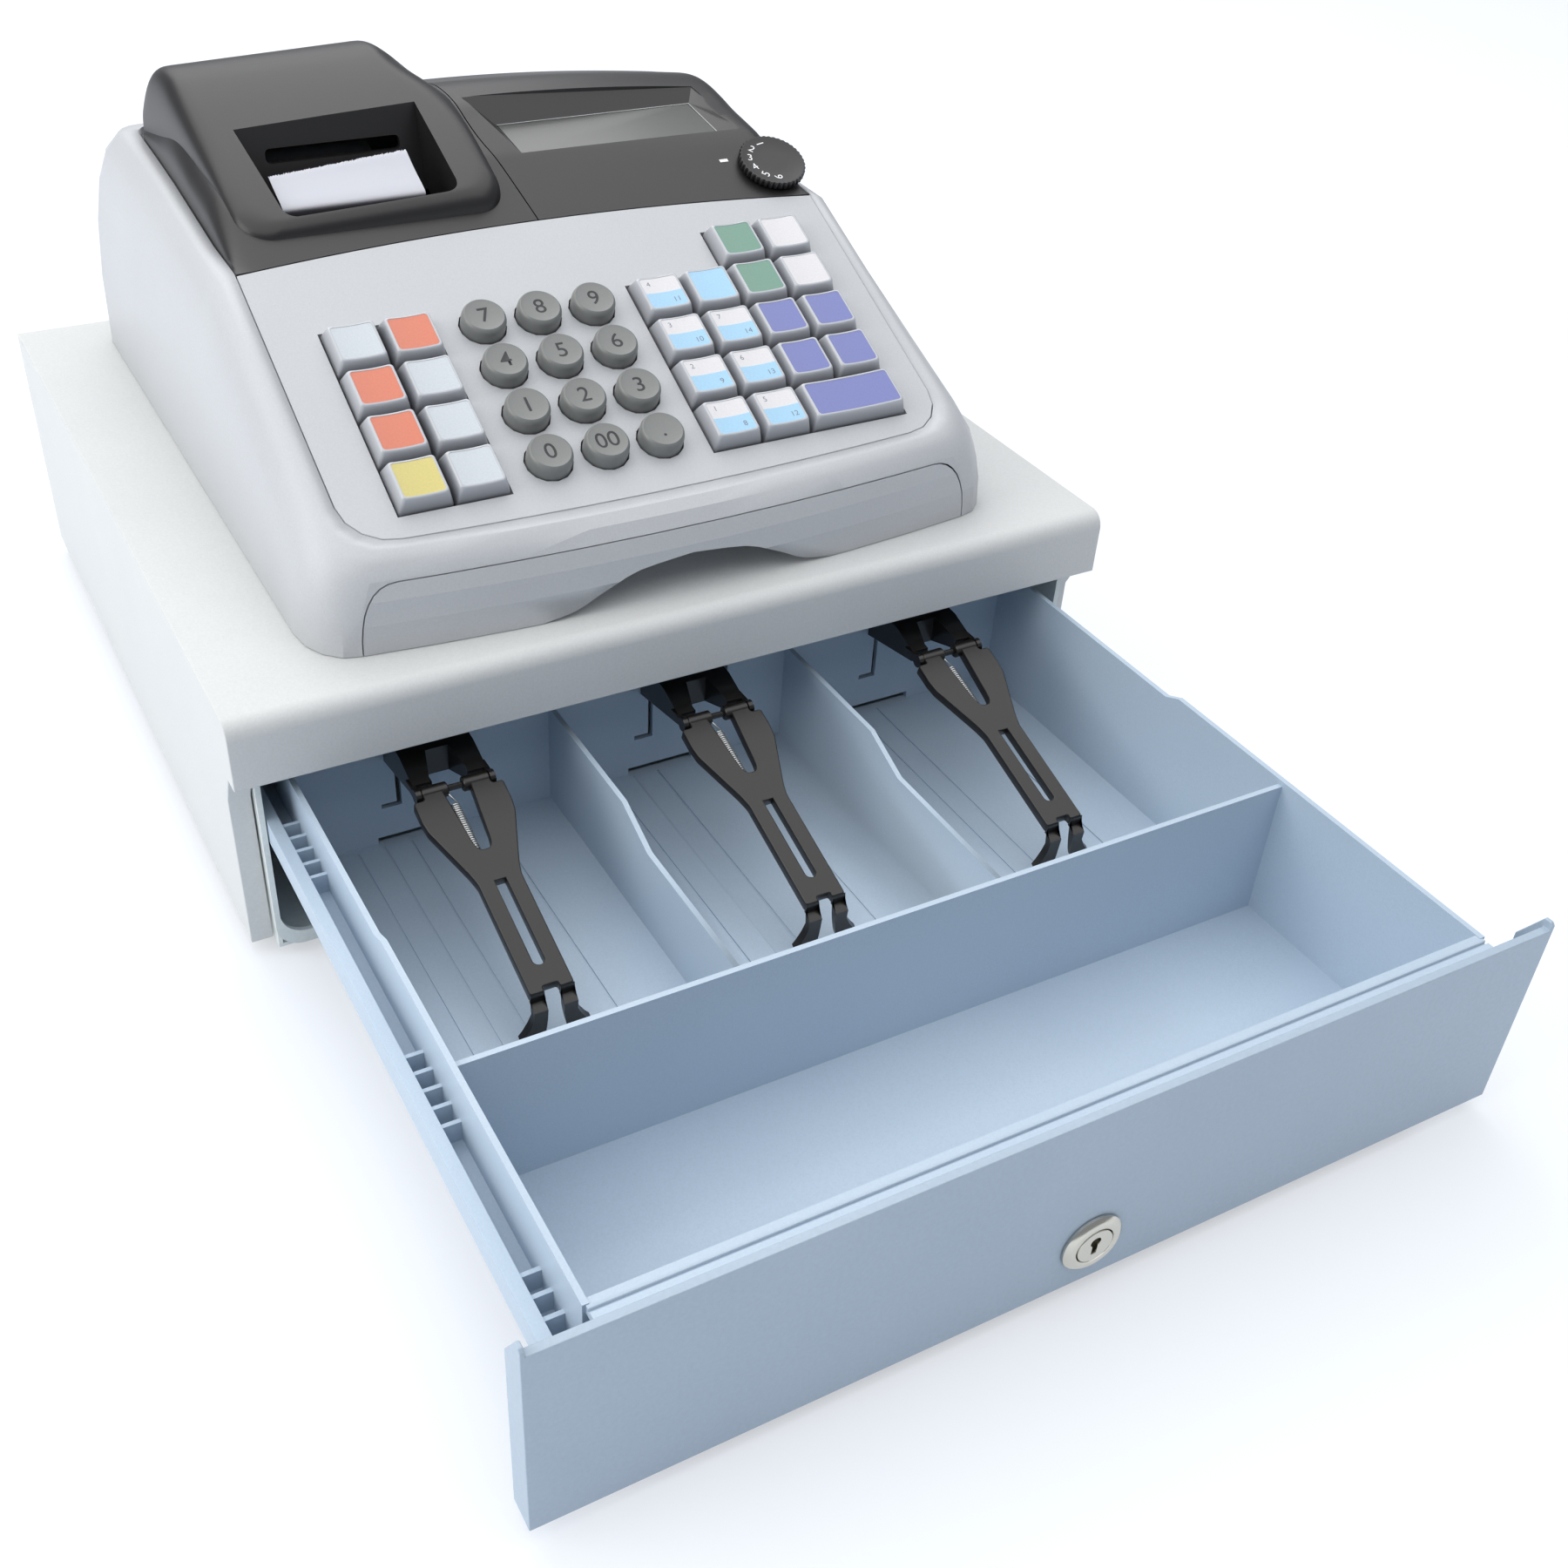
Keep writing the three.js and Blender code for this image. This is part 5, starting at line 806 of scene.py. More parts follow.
def prong(shape, side):
    """One prong of the foot: the arm bends down in a round corner and flares where it meets the floor."""
    half = CLIP_THICK / 2
    bend = FOOT_BEND - half
    sections = []
    for i in range(FOOT_BEND_STEPS + 1):
        turn = i / FOOT_BEND_STEPS * (math.pi / 2 - CLIP_SLOPE)
        place = (-TIP - math.sin(turn) * bend, math.cos(turn) * bend - bend)
        sections.append((*place, turn, NOTCH_HALF, WAIST, half))
    last_y, last_z, last_turn = sections[-1][:3]
    for share, flare_in, flare_out in FOOT_FLARES:
        length = FOOT_REACH * share
        place = (last_y - math.sin(CLIP_SLOPE) * length, last_z - math.cos(CLIP_SLOPE) * length)
        sections.append((*place, last_turn, NOTCH_HALF + flare_in, WAIST + flare_out, half * FOOT_THINNER))
    rings = []
    for y, z, turn, near, far, thick in sections:
        rings.append([(side * x, y + math.sin(turn) * thick * s, z + math.cos(turn) * thick * s)
                      for x, s in ((near, 1), (far, 1), (far, -1), (near, -1))])
    bands = lofted(shape, rings, closed_top=False)
    shape.faces.new([face.verts[0] for face in bands[0]])
    shape.faces.new([face.verts[3] for face in bands[-1]])


def spring_mesh():
    """A close coil with a straight tail to its hook by the slot, as a round wire."""
    curve = bpy.data.curves.new("spring", "CURVE")
    curve.dimensions = "3D"
    curve.bevel_depth = SPRING_WIRE * MM
    curve.bevel_resolution = EDGE_STEPS
    (start, end), (x, z) = SPRING_RUN, SPRING_AXIS
    count = SPRING_CURLS * SPRING_STEPS
    points = [SPRING_PIN]
    for i in range(count + 1):
        angle = 2 * math.pi * i / SPRING_STEPS
        points.append((x + SPRING_RADIUS * math.cos(angle), -start - (end - start) * i / count,
                       z - SPRING_RADIUS * math.sin(angle)))
    points += [(x, -place, z) for place in SPRING_TAIL] + [SPRING_HOOK]
    polyline(curve, [Vector(place) * MM for place in points])
    mesh = mesh_of(curve)
    only(mesh, spring_finish)
    mesh.shade_smooth()
    return mesh


def bill_clip(side, x):
    """A clip's arm with its barrels and foot, and the spring that pulls it down."""
    matrix = Matrix.Translation(Vector((x, *CLIP_HINGE)) * MM) @ Matrix.Rotation(CLIP_SLOPE, 4, "X")
    shape = bmesh.new()
    flat_part(shape, arm_outlines(), -CLIP_THICK / 2, CLIP_THICK / 2, CLIP_EDGE, Matrix.Identity(4))
    for sign in (-1, 1):
        rod(shape, BARREL[2], *sorted((sign * BARREL[0], sign * BARREL[1])))
        prong(shape, sign)
    mesh = finished_mesh(f"clip_arm_{side}", shape, [clip_finish], 35)
    link_piece(f"clip_arm_{side}", mesh, f"clip_{side}", matrix, f"bill_clip_{side}")
    link_piece(f"clip_spring_{side}", spring_mesh(), f"clip_{side}", matrix)


for side, x in CLIP_PLACES.items():
    bill_clip(side, x)
    refined(f"clip_bracket_{side}", "black_plastic", edge=0.3)

# %% [markdown]
# ## Drawer lock
# A cam lock with a nickel-plated bezel sits in the drawer's front, and its plug turns in it.
# Both are turned parts, so their profiles are spun. The keyhole is an outline cut through the plug's face.


# %% Nickel plate
def nickel_plate():
    """Bright nickel plate on brass: a warm white metal with faint turning rings about the lock's axis."""
    material, tree, place = patterned("nickel_plate")
    rings = add(tree, "ShaderNodeTexWave", {"Vector": place, "Scale": per_mm(2.0), "Distortion": 0.4,
                                            "Detail": 1.0}, wave_type="RINGS", rings_direction="Y")
    return surfaced(material, tree, linear("cfcdc4"), 0.2, Metallic=1.0,
                    Normal=relief(tree, rings.outputs["Fac"], 0.01, 0.3))


finishes["lock_steel"] = nickel_plate()
print("nickel plate ready")

# %% Bezel and plug
LOCK_PLACE = Vector((4.4, -296.05, 25.2)) * MM
BEZEL = 11.0
BORE = 6.8
PLUG = 6.5
PLUG_FACE = 1.6
PLUG_EDGE = 0.25
LOCK_PROUD = 2.5
BARREL_END = 11.5
BARREL_RADIUS = 9
BEZEL_PROFILE = [(BORE, BARREL_END), (BARREL_RADIUS, BARREL_END), (BARREL_RADIUS, -0.3), (BEZEL, -0.3),
                 (BEZEL, -1.1), (10.7, -1.5), (9.3, -2.35), (8.9, -LOCK_PROUD), (7.4, -LOCK_PROUD),
                 (7.0, -2.3), (BORE, -1.9)]
BEZEL_STEPS = 72
PLUG_STEPS = 64
PLUG_PROFILE = [(0.4, 1.5), (PLUG, 1.5), (PLUG, BARREL_END + 1.9), (0.4, BARREL_END + 1.9)]
CAM = (13.7, 4.5, 1.6)
CAM_FILLET = 3
CAM_EDGE = 0.2
CAM_GAP = 0.3
KEYHOLE = {"head": 1.9, "slot": 1.0, "top": 1.75, "low": -3.5}
KEYHOLE_STEPS = 20
LOCK_CREASE = 25


def keyhole():
    """A round head over a straight slot, with points in millimetres."""
    head, slot, top, low = KEYHOLE.values()
    start = math.asin(-math.sqrt(head ** 2 - slot ** 2) / head)
    arc = [start + (math.pi - 2 * start) * i / KEYHOLE_STEPS for i in range(KEYHOLE_STEPS + 1)]
    return [(slot, low)] + [(head * math.cos(a), top + head * math.sin(a)) for a in arc] + [(-slot, low)]


def lock_bezel():
    """The barrel with its bezel: one profile that closes on itself, spun about the lock's axis."""
    shape = bmesh.new()
    rings = [[(r * math.cos(a), y, -r * math.sin(a)) for a in around(BEZEL_STEPS)]
             for r, y in BEZEL_PROFILE + BEZEL_PROFILE[:1]]
    lofted(shape, rings, closed_top=False)
    bmesh.ops.remove_doubles(shape, verts=shape.verts, dist=WELD)
    return finished_mesh("lock_bezel", shape, [finishes["lock_steel"]], LOCK_CREASE)


def lock_plug():
    """The plug: a face with the keyhole, its round body, and the cam at its end."""
    shape = bmesh.new()
    circle = [(PLUG * math.cos(a), PLUG * math.sin(a)) for a in around(PLUG_STEPS)]
    facing = Matrix.Rotation(math.pi / 2, 4, "X")
    flat_part(shape, [circle, keyhole()], -PLUG_FACE, LOCK_PROUD, PLUG_EDGE, facing)
    spun(shape, PLUG_PROFILE, axis="Y")
    length, half, thick = CAM
    cam = filleted([(-half, -half), (length, -half), (length, half), (-half, half)], CAM_FILLET)
    near = -BARREL_END - CAM_GAP
    flat_part(shape, [cam], near - thick, near, CAM_EDGE, facing)
    return finished_mesh("lock_plug", shape, [finishes["lock_steel"]], LOCK_CREASE)


for name, mesh, body, node_name in (("lock_bezel", lock_bezel(), "drawer", "lock_barrel"),
                                    ("lock_core", lock_plug(), "plug", "lock_plug")):
    link_piece(name, mesh, body, Matrix.Translation(LOCK_PLACE), node_name)
print("keyhole points:", len(keyhole()))

# %% [markdown]
# ## Dark covers
# Two dark mouldings close the top: the printer's cover with its hump and window, and the display's cover.
# Both follow one smooth surface that leaves the keyboard's plane, rises to a crown and falls to the hinge.
# The CAD draws it with few facets, which show as bands in a glossy finish. Subdividing those facets would
# only round them off, so the same curves are drawn again here with many more rows, columns and rings.

# %% Curves of the covers
LIP_TO_ROW = -51.45
LID_TO_ROW = 113
RIM_HALF = 122.2
RIM_BACK = 298.3
RIM_RISE = 102
PANEL_BACK = 151.1
PANEL_RISE = 90.3
PANEL_SAG = (5.5, -1.3)
COVER_WALL = 2.5
COVER_SEAM = 0.5
SHOULDER_RUN = 12
SHOULDER_POWER = 2.3
BACK_CORNER = 12
PLANE_END = 190
CREST_RISE = 122.8
CROWN_DROP = 8
RIM_SHARES = [(0, 0), (0.227, 0.11), (0.479, 0.54), (0.739, 0.82), (1, 1)]
CROWN_SHARES = [(0, 0), (0.2, 0.575), (0.28, 0.81), (0.33, 0.905), (0.39, 0.98), (0.46, 1), (0.54, 0.925),
                (0.63, 0.76), (0.72, 0.6), (0.9, 0.225), (1, -0.354)]
CROWN_BLEND = (-0.1, 0.33)
SEAM_SHARES = [(0, 0), (0.2, 0.4), (0.32, 0.73), (0.48, 0.89), (0.58, 1), (1, 1.1)]
SEAM_PLACES = (0.7, -8.5)


def mix(start, end, share):
    """A value that lies at a share of the way between two others."""
    return start + (end - start) * share


def ease(low, high, place):
    """0 before low, 1 after high, and a smooth step between them."""
    share = min(max((place - low) / (high - low), 0), 1)
    return share * share * (3 - 2 * share)


def smooth(table, place):
    """A smooth curve through a table of places and values."""
    last = len(table) - 1
    if place <= table[0][0]:
        return table[0][1]
    if place >= table[last][0]:
        return table[last][1]
    i = max(k for k in range(last) if table[k][0] <= place)
    (x0, y0), (x1, y1) = table[i], table[i + 1]
    slopes = [(table[b][1] - table[a][1]) / (table[b][0] - table[a][0])
              for a, b in ((max(i - 1, 0), i + 1), (i, min(i + 2, last)))]
    t = (place - x0) / (x1 - x0)
    bend = (x1 - x0) * (slopes[0] * t * (1 - t) ** 2 - slopes[1] * t * t * (1 - t))
    return mix(y0, y1, t * t * (3 - 2 * t)) + bend


def stretched(shares, start, run, low, high):
    """A table of shares turned into places and heights."""
    return [(start + share * run, mix(low, high, rise)) for share, rise in shares]


def plane_rise(y):
    """Height of the keyboard's plane over the lid."""
    return PANEL_RISE + (y - PANEL_BACK) * math.tan(BOARD_TILT)


RIM_TABLE = stretched(RIM_SHARES, PANEL_BACK, RIM_BACK - PANEL_BACK, PANEL_RISE, RIM_RISE)
SEAM_TABLE = stretched(SEAM_SHARES, PANEL_BACK, RIM_BACK - PANEL_BACK, *SEAM_PLACES)
CROWN_RUN = RIM_BACK - PLANE_END
CROWN_TABLE = stretched(CROWN_SHARES, PLANE_END, CROWN_RUN, plane_rise(PLANE_END), CREST_RISE)


def cover_rise(x, y, inset=0.0):
    """Height of the covers' surface: a crown that sinks sideways and rounds down to the rim."""
    rim = smooth(RIM_TABLE, y) - inset
    crown = plane_rise(y) if y <= PLANE_END else smooth(CROWN_TABLE, y)
    behind = ease(*(PLANE_END + share * CROWN_RUN for share in CROWN_BLEND), y)
    crown = max(crown - CROWN_DROP * behind * (x / RIM_HALF) ** 2 - inset, rim)
    start = RIM_HALF - COVER_SEAM - inset - SHOULDER_RUN
    beyond = min(max((abs(x) - start) / SHOULDER_RUN, 0), 1)
    return mix(rim, crown, (1 - beyond ** SHOULDER_POWER) ** (1 / SHOULDER_POWER))


def cover_front(x):
    """Place of the covers' front edge, a shallow arc behind the keyboard."""
    return PANEL_BACK + mix(*PANEL_SAG, (x / RIM_HALF) ** 2) * math.cos(BOARD_TILT) + COVER_SEAM


print("crest over the lid:", round(cover_rise(0, 246), 1), "mm")

# %% Closed bodies and Boolean cuts
def row_frame(point):
    """A point over the cabinet's front edge and lid, in millimetres, as a place in the frame."""
    return Vector((point[0], point[1] + LIP_TO_ROW, point[2] + LID_TO_ROW)) * MM


def body_mesh(points, faces):
    """A mesh whose faces all point out of its body."""
    mesh = bpy.data.meshes.new("body")
    mesh.from_pydata([row_frame(point) for point in points], [], faces)
    shape = bmesh.new()
    shape.from_mesh(mesh)
    bmesh.ops.recalc_face_normals(shape, faces=shape.faces)
    shape.to_mesh(mesh)
    shape.free()
    return mesh


def band_faces(rings):
    """The faces between neighbouring rings, whose points are numbered ring by ring."""
    count = len(rings[0])
    return [(r * count + i, r * count + k, (r + 1) * count + k, (r + 1) * count + i)
            for r in range(len(rings) - 1) for i, k in zip(range(count), [*range(1, count), 0])]


def prism(rings):
    """A closed body through rings of points, with a flat face at both ends."""
    count = len(rings[0])
    ends = [tuple(reversed(range(count))), tuple((len(rings) - 1) * count + i for i in range(count))]
    return body_mesh([point for ring in rings for point in ring], ends + band_faces(rings))


def block(x, y, z):
    """A box between pairs of places."""
    return prism([[(x[0], y[0], h), (x[1], y[0], h), (x[1], y[1], h), (x[0], y[1], h)] for h in z])


def across(outline, start, end):
    """An outline of (y, z) points drawn out across the machine."""
    return prism([[(x, y, z) for y, z in outline] for x in (start, end)])


def cross_rod(radius, start, end, y, z, steps=24):
    """A rod across the machine."""
    return across([(y + radius * math.cos(a), z + radius * math.sin(a)) for a in around(steps)], start, end)


def paired_rings(rings):
    """A closed body through rings that list one side's points and then the other's in reverse order."""
    count = len(rings[0])
    faces = band_faces(rings)
    for base in (0, (len(rings) - 1) * count):
        faces += [(base + i, base + i + 1, base + count - 2 - i, base + count - 1 - i)
                  for i in range(count // 2 - 1)]
    return body_mesh([point for ring in rings for point in ring], faces)


def grid_rim(wide, deep):
    """The numbers of the points round the edge of a grid, in order."""
    last = wide * (deep - 1)
    rim = list(range(wide)) + [j * wide + wide - 1 for j in range(1, deep)]
    return rim + [last + i for i in range(wide - 2, -1, -1)] + [j * wide for j in range(deep - 2, 0, -1)]


def sheet_body(columns, rows, point):
    """A closed body under a grid of points: point gives the upper (0) or the lower (1) face."""
    wide, deep = len(columns), len(rows)
    points = [point(u, v, face) for face in (0, 1) for v in rows for u in columns]
    layer = wide * deep
    faces = []
    for j in range(deep - 1):
        for i in range(wide - 1):
            a = j * wide + i
            faces.append((a, a + 1, a + 1 + wide, a + wide))
            faces.append((a + layer, a + wide + layer, a + 1 + wide + layer, a + 1 + layer))
    rim = grid_rim(wide, deep)
    faces += [(a, a + layer, b + layer, b) for a, b in zip(rim, rim[1:] + rim[:1])]
    return body_mesh(points, faces)


def combined(mesh, tools, operation):
    """One mesh cut by others, or joined with them, by Blender's exact Boolean."""
    body = bpy.data.objects.new("body", mesh)
    helpers = [bpy.data.objects.new("tool", tool) for tool in tools]
    for item in [body] + helpers:
        bpy.context.scene.collection.objects.link(item)
    for helper in helpers:
        step = body.modifiers.new("cut", "BOOLEAN")
        step.operation = operation
        step.solver = "EXACT"
        step.object = helper
    result = bpy.data.meshes.new_from_object(body.evaluated_get(bpy.context.evaluated_depsgraph_get()))
    for item in [body] + helpers:
        data = item.data
        bpy.data.objects.remove(item)
        bpy.data.meshes.remove(data)
    return result


def cut(mesh, *tools):
    """A mesh without the room of the tools."""
    return combined(mesh, tools, "DIFFERENCE")


def joined(mesh, *tools):
    """A mesh and the tools as one body."""
    return combined(mesh, tools, "UNION")


def cover_piece(name, mesh, node_name, crease=28):
    """Gives a finished cover its material and shading, and puts it in the place of its CAD node."""
    mesh.validate()
    only(mesh, finishes["dark_plastic"])
    mesh.shade_smooth()
    mesh.set_sharp_from_angle(angle=math.radians(crease))
    return link_piece(name, mesh, frame["nodes"][node_name]["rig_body"], None, node_name)


cube = block((0, 1), (0, 1), (0, 1))
print("a block has", len(cube.polygons), "faces")
bpy.data.meshes.remove(cube)


# %% Sheet of a cover
SHEET_STEPS = (26, 64)
COARSE_STEPS = (12, 30)
FEWEST_ROUND_STEPS = 6
ROUND_STEP_POWER = 0.6


def cover_body(side, inset, back, low, steps=SHEET_STEPS):
    """The body under one cover's surface, from the seam between the covers out to the rim.
    Low is how far its lower face lies under the rim. Steps run across and along."""
    across_steps, along_steps = steps
    half = RIM_HALF - COVER_SEAM - inset
    shoulder = half - SHOULDER_RUN
    round_steps = max(across_steps // 2, FEWEST_ROUND_STEPS)
    columns = [("inner", i / across_steps) for i in range(across_steps)]
    columns += [("outer", (i / round_steps) ** ROUND_STEP_POWER) for i in range(round_steps + 1)]
    rows = [i / along_steps for i in range(along_steps + 1)]
    corner = BACK_CORNER - inset

    def point(column, run, face):
        kind, share = column
        start = cover_front(side * half) + inset
        guess = mix(start, back - inset, run)
        over = max(guess - (back - inset - corner), 0)
        edge = half - corner + math.sqrt(max(corner ** 2 - over ** 2, 0))
        seam_side = smooth(SEAM_TABLE, guess) + side * (COVER_SEAM / 2 + inset)
        x = mix(seam_side, side * shoulder, share) if kind == "inner" else side * mix(shoulder, half, share)
        x = side * min(side * x, edge)
        y = mix(cover_front(x) + inset, back - inset, run)
        return (x, y, cover_rise(x, y, inset) if face == 0 else smooth(RIM_TABLE, y) - low)

    return sheet_body(columns, rows, point)


print("cover surface at the seam:", round(cover_rise(0, 200), 1), "mm over the lid")

# %% Printer cover
HUMP_FRONT = 163.3
HUMP_BACK = RIM_BACK - 4
HUMP_RUN = HUMP_BACK - HUMP_FRONT
HUMP_LEFT = (-113.8, -120.6)
HUMP_RIGHT = -8.2
HUMP_CORNER = 12
HUMP_CORNER_STEPS = 16
HUMP_STEPS = (14, 46)
HUMP_COARSE = (5, 24)
HUMP_RISES = (101, 135.75)
HUMP_FALL = 4.2
HUMP_ROUNDS = {"left": 10, "right": 10, "right_back": 24, "front": 5}
HUMP_EMBED = 1.5
HUMP_TUCK = 0.06
HUMP_LEAST = 0.3
HUMP_SHARES = [(0, 0), (0.035, 0.07), (0.4, 0.62), (0.62, 0.93), (0.7, 1), (0.8, 0.97), (0.89, 0.82),
               (0.96, 0.46), (1, 0.02)]
HUMP_SLOPE = (0.25, 0.65)
HUMP_SLOPE_POWER = 0.35
HUMP_POWER = 2.8
INNER_DROP = 8
INNER_HUMP_DROP = 10
WINDOW_LEFT = (-96, -100.5)
WINDOW_RIGHT = -26.5
WINDOW_RUN = (167.6, 216.8)
WINDOW_BEYOND = 10
WINDOW_FILLET = 6.4
POCKET_RUN = (170.5, 207)
POCKET_RISE = 91
POCKET_OVER = 8
POCKET_LEAN = 2.5
POCKET_GAP = 0.2
POCKET_WALL_DROP = 20
SLOT = (-90, -35, 108, 113.4)
SLOT_FILLET = 2.4
FINE_FILLET = 8
PAPER_SLOT = ((-95.4, -37.2), (186.9, 189.3))
PAPER_SLOT_RISES = (POCKET_RISE - 8, POCKET_RISE + 0.3)
KNUCKLE = (2.6, 8, 14)
KNUCKLE_GAP = 0.3
EAR = 2.3
EAR_GAP = 0.6
PAST = 5
TRIM_STEPS = 48
HUMP_TABLE = stretched(HUMP_SHARES, HUMP_FRONT, HUMP_RUN, *HUMP_RISES)
HUMP_MIDDLE = -62.25
HINGE_Y = HUMP_BACK - KNUCKLE[0]
HINGE_Z = RIM_RISE - KNUCKLE[0]


def hump_rise(x, y):
    """Height of the hump's top, which falls a little to the left."""
    return smooth(HUMP_TABLE, y) + HUMP_FALL * (x - HUMP_MIDDLE) / (HUMP_RIGHT - HUMP_LEFT[0])


def hump_shares(count):
    """Shares of the hump's run: close rows at the round front corners and at the round back."""
    start = HUMP_CORNER / HUMP_RUN
    turns = [math.pi * i / HUMP_CORNER_STEPS for i in range(HUMP_CORNER_STEPS)]
    front = [0.5 * start * (1 - math.cos(turn)) for turn in turns]
    return front + [mix(start, 1, math.sin(math.pi / 2 * i / count)) for i in range(count + 1)]


def hump_row(share):
    """One row of the hump: its share, how far its right side slopes, and its left and right edges."""
    turn = min(share * HUMP_RUN / HUMP_CORNER, 1)
    in_corner = HUMP_CORNER * (1 - math.sqrt(1 - (1 - turn) ** 2))
    y = HUMP_FRONT + share * HUMP_RUN
    over = max(y - (HUMP_BACK - BACK_CORNER), 0)
    back_edge = RIM_HALF - COVER_SEAM - BACK_CORNER + math.sqrt(max(BACK_CORNER ** 2 - over ** 2, 0))
    right = min(HUMP_RIGHT, smooth(SEAM_TABLE, y) - COVER_SEAM)
    left = max(mix(*HUMP_LEFT, share), -back_edge)
    return share, ease(*HUMP_SLOPE, share), left + in_corner, right - in_corner


def hump_body(inset, drop, foot_drop, steps=HUMP_STEPS):
    """The hump as rings that are drawn in and raised level by level. Its back keeps a hair's breadth to the
    cover's back, because two faces in one plane can't be joined cleanly."""
    levels, count = steps
    rows = [hump_row(share) for share in hump_shares(count)]
    rings = []
    for level in range(levels + 1):
        angle = level / levels * math.pi / 2
        inward = 1 - math.cos(angle) ** (2 / HUMP_POWER)
        up = math.sin(angle) ** (2 / HUMP_POWER)
        sides = {"left": [], "right": []}
        for share, slope, left, right in rows:
            y = mix(HUMP_FRONT + HUMP_ROUNDS["front"] * inward + inset, HUMP_BACK - HUMP_TUCK - inset, share)
            reach = mix(HUMP_ROUNDS["right"], HUMP_ROUNDS["right_back"], slope)
            for side, x in (("left", left + HUMP_ROUNDS["left"] * inward + inset),
                            ("right", right - reach * inward ** mix(1, HUMP_SLOPE_POWER, slope) - inset)):
                foot = cover_rise(x, y) - HUMP_EMBED - foot_drop
                top = max(hump_rise(x, y) - drop, foot + HUMP_LEAST)
                sides[side].append((x, y, mix(foot, top, up)))
        rings.append(sides["right"] + sides["left"][::-1])
    return paired_rings(rings)


def window_prism(low, high):
    """The window's opening seen from above: its left edge runs a little outwards towards the back."""
    front, back = WINDOW_RUN
    beyond = back + WINDOW_BEYOND
    left_back = mix(*WINDOW_LEFT, (beyond - front) / (back - front))
    plan = filleted([(WINDOW_LEFT[0], front), (WINDOW_RIGHT, front), (WINDOW_RIGHT, beyond),
                     (left_back, beyond)], WINDOW_FILLET, FINE_FILLET)
    return prism([[(x, y, z) for x, y in plan] for z in (low, high)])


def pocket_outline(grow):
    """Side view of the pocket behind the window, as (y, z) points."""
    top = HUMP_RISES[1] + POCKET_OVER
    back_rise = smooth(HUMP_TABLE, WINDOW_RUN[1])
    return [(POCKET_RUN[0] - grow, POCKET_RISE - grow), (POCKET_RUN[1] + grow, POCKET_RISE - grow),
            (WINDOW_RUN[1] + grow, back_rise), (WINDOW_RUN[1] + grow + POCKET_LEAN, top),
            (WINDOW_RUN[0] - grow, top), (WINDOW_RUN[0] - grow, smooth(HUMP_TABLE, WINDOW_RUN[0]))]


def ear_rods():
    """Room beside the two hinge knuckles for the ears that hold the hinge pins."""
    radius, wide, from_edge = KNUCKLE
    rods = []
    for x in (HUMP_LEFT[1] + from_edge, HUMP_RIGHT - from_edge - wide):
        for start, end in ((x - EAR_GAP - EAR, x), (x + wide, x + wide + EAR_GAP + EAR)):
            rods.append(cross_rod(radius + KNUCKLE_GAP, start, end, HINGE_Y, HINGE_Z))
    return rods


def edge_trim():
    """What comes off the lower back edge, so that it is round about the hinge."""
    radius = KNUCKLE[0]
    ends = (-RIM_HALF - PAST, 0)
    corner = block(ends, (HINGE_Y, RIM_BACK + PAST), (HINGE_Z - radius - PAST, HINGE_Z + radius / 2))
    return cut(corner, cross_rod(radius, ends[0] - PAST, ends[1] + PAST, HINGE_Y, HINGE_Z, TRIM_STEPS))


def paper_exit():
    """The long slot behind the pocket that the paper's light shows through."""
    left, right, low, high = SLOT
    plan = filleted([(left, low), (right, low), (right, high), (left, high)], SLOT_FILLET, FINE_FILLET)
    return prism([[(x, y, z) for x, z in plan] for y in (POCKET_RUN[1] - PAST, WINDOW_RUN[1] + PAST)])


def printer_cover():
    """The shell over the printer: a thin skin with a walled pocket behind its window."""
    outer = joined(cover_body(-1, 0, HUMP_BACK, COVER_WALL + COVER_SEAM), hump_body(0, 0, 0))
    inner = joined(cover_body(-1, COVER_WALL, HUMP_BACK, INNER_DROP, COARSE_STEPS),
                   hump_body(COVER_WALL, COVER_WALL, INNER_HUMP_DROP, HUMP_COARSE))
    room = across(pocket_outline(COVER_WALL), WINDOW_LEFT[1] - COVER_WALL, WINDOW_RIGHT + COVER_WALL)
    walls = combined(room, [hump_body(POCKET_GAP, POCKET_GAP, POCKET_WALL_DROP)], "INTERSECT")
    hollow = across(pocket_outline(0), WINDOW_LEFT[1] - PAST, WINDOW_RIGHT + PAST)
    pocket = combined(hollow, [window_prism(0, HUMP_RISES[1] + POCKET_WALL_DROP)], "INTERSECT")
    shell = joined(cut(outer, inner, edge_trim()), walls)
    shell = cut(shell, pocket, paper_exit(), block(*PAPER_SLOT, PAPER_SLOT_RISES), *ear_rods())
    return cover_piece("printer_cover_moulding", shell, "printer_cover")


moulding = printer_cover()
print("printer cover:", len(moulding.data.polygons), "faces")

# %% Display cover
LCD_RUN = (190, 218.3)
LCD_SIDES = (8.5, 98.5)
LCD_RISES = (107, 111.2)
LCD_MARGIN = 4
LCD_DEPTH = 5
LCD_OVERLAP = 0.3
RECESS_BACK = 226
RECESS_MOUTH = [(8.2, 189.7, 107.3), (109, 189.7, 107.6), (103.5, RECESS_BACK, 115.5),
                (-3.5, RECESS_BACK, 121.8)]
RECESS_SIDES = (-3, 110)
CLEAR = 10
DIAL_PLACE = (111.7, 17.6)
SHAFT_HOLE = 3.6
SHAFT_STEPS = 24


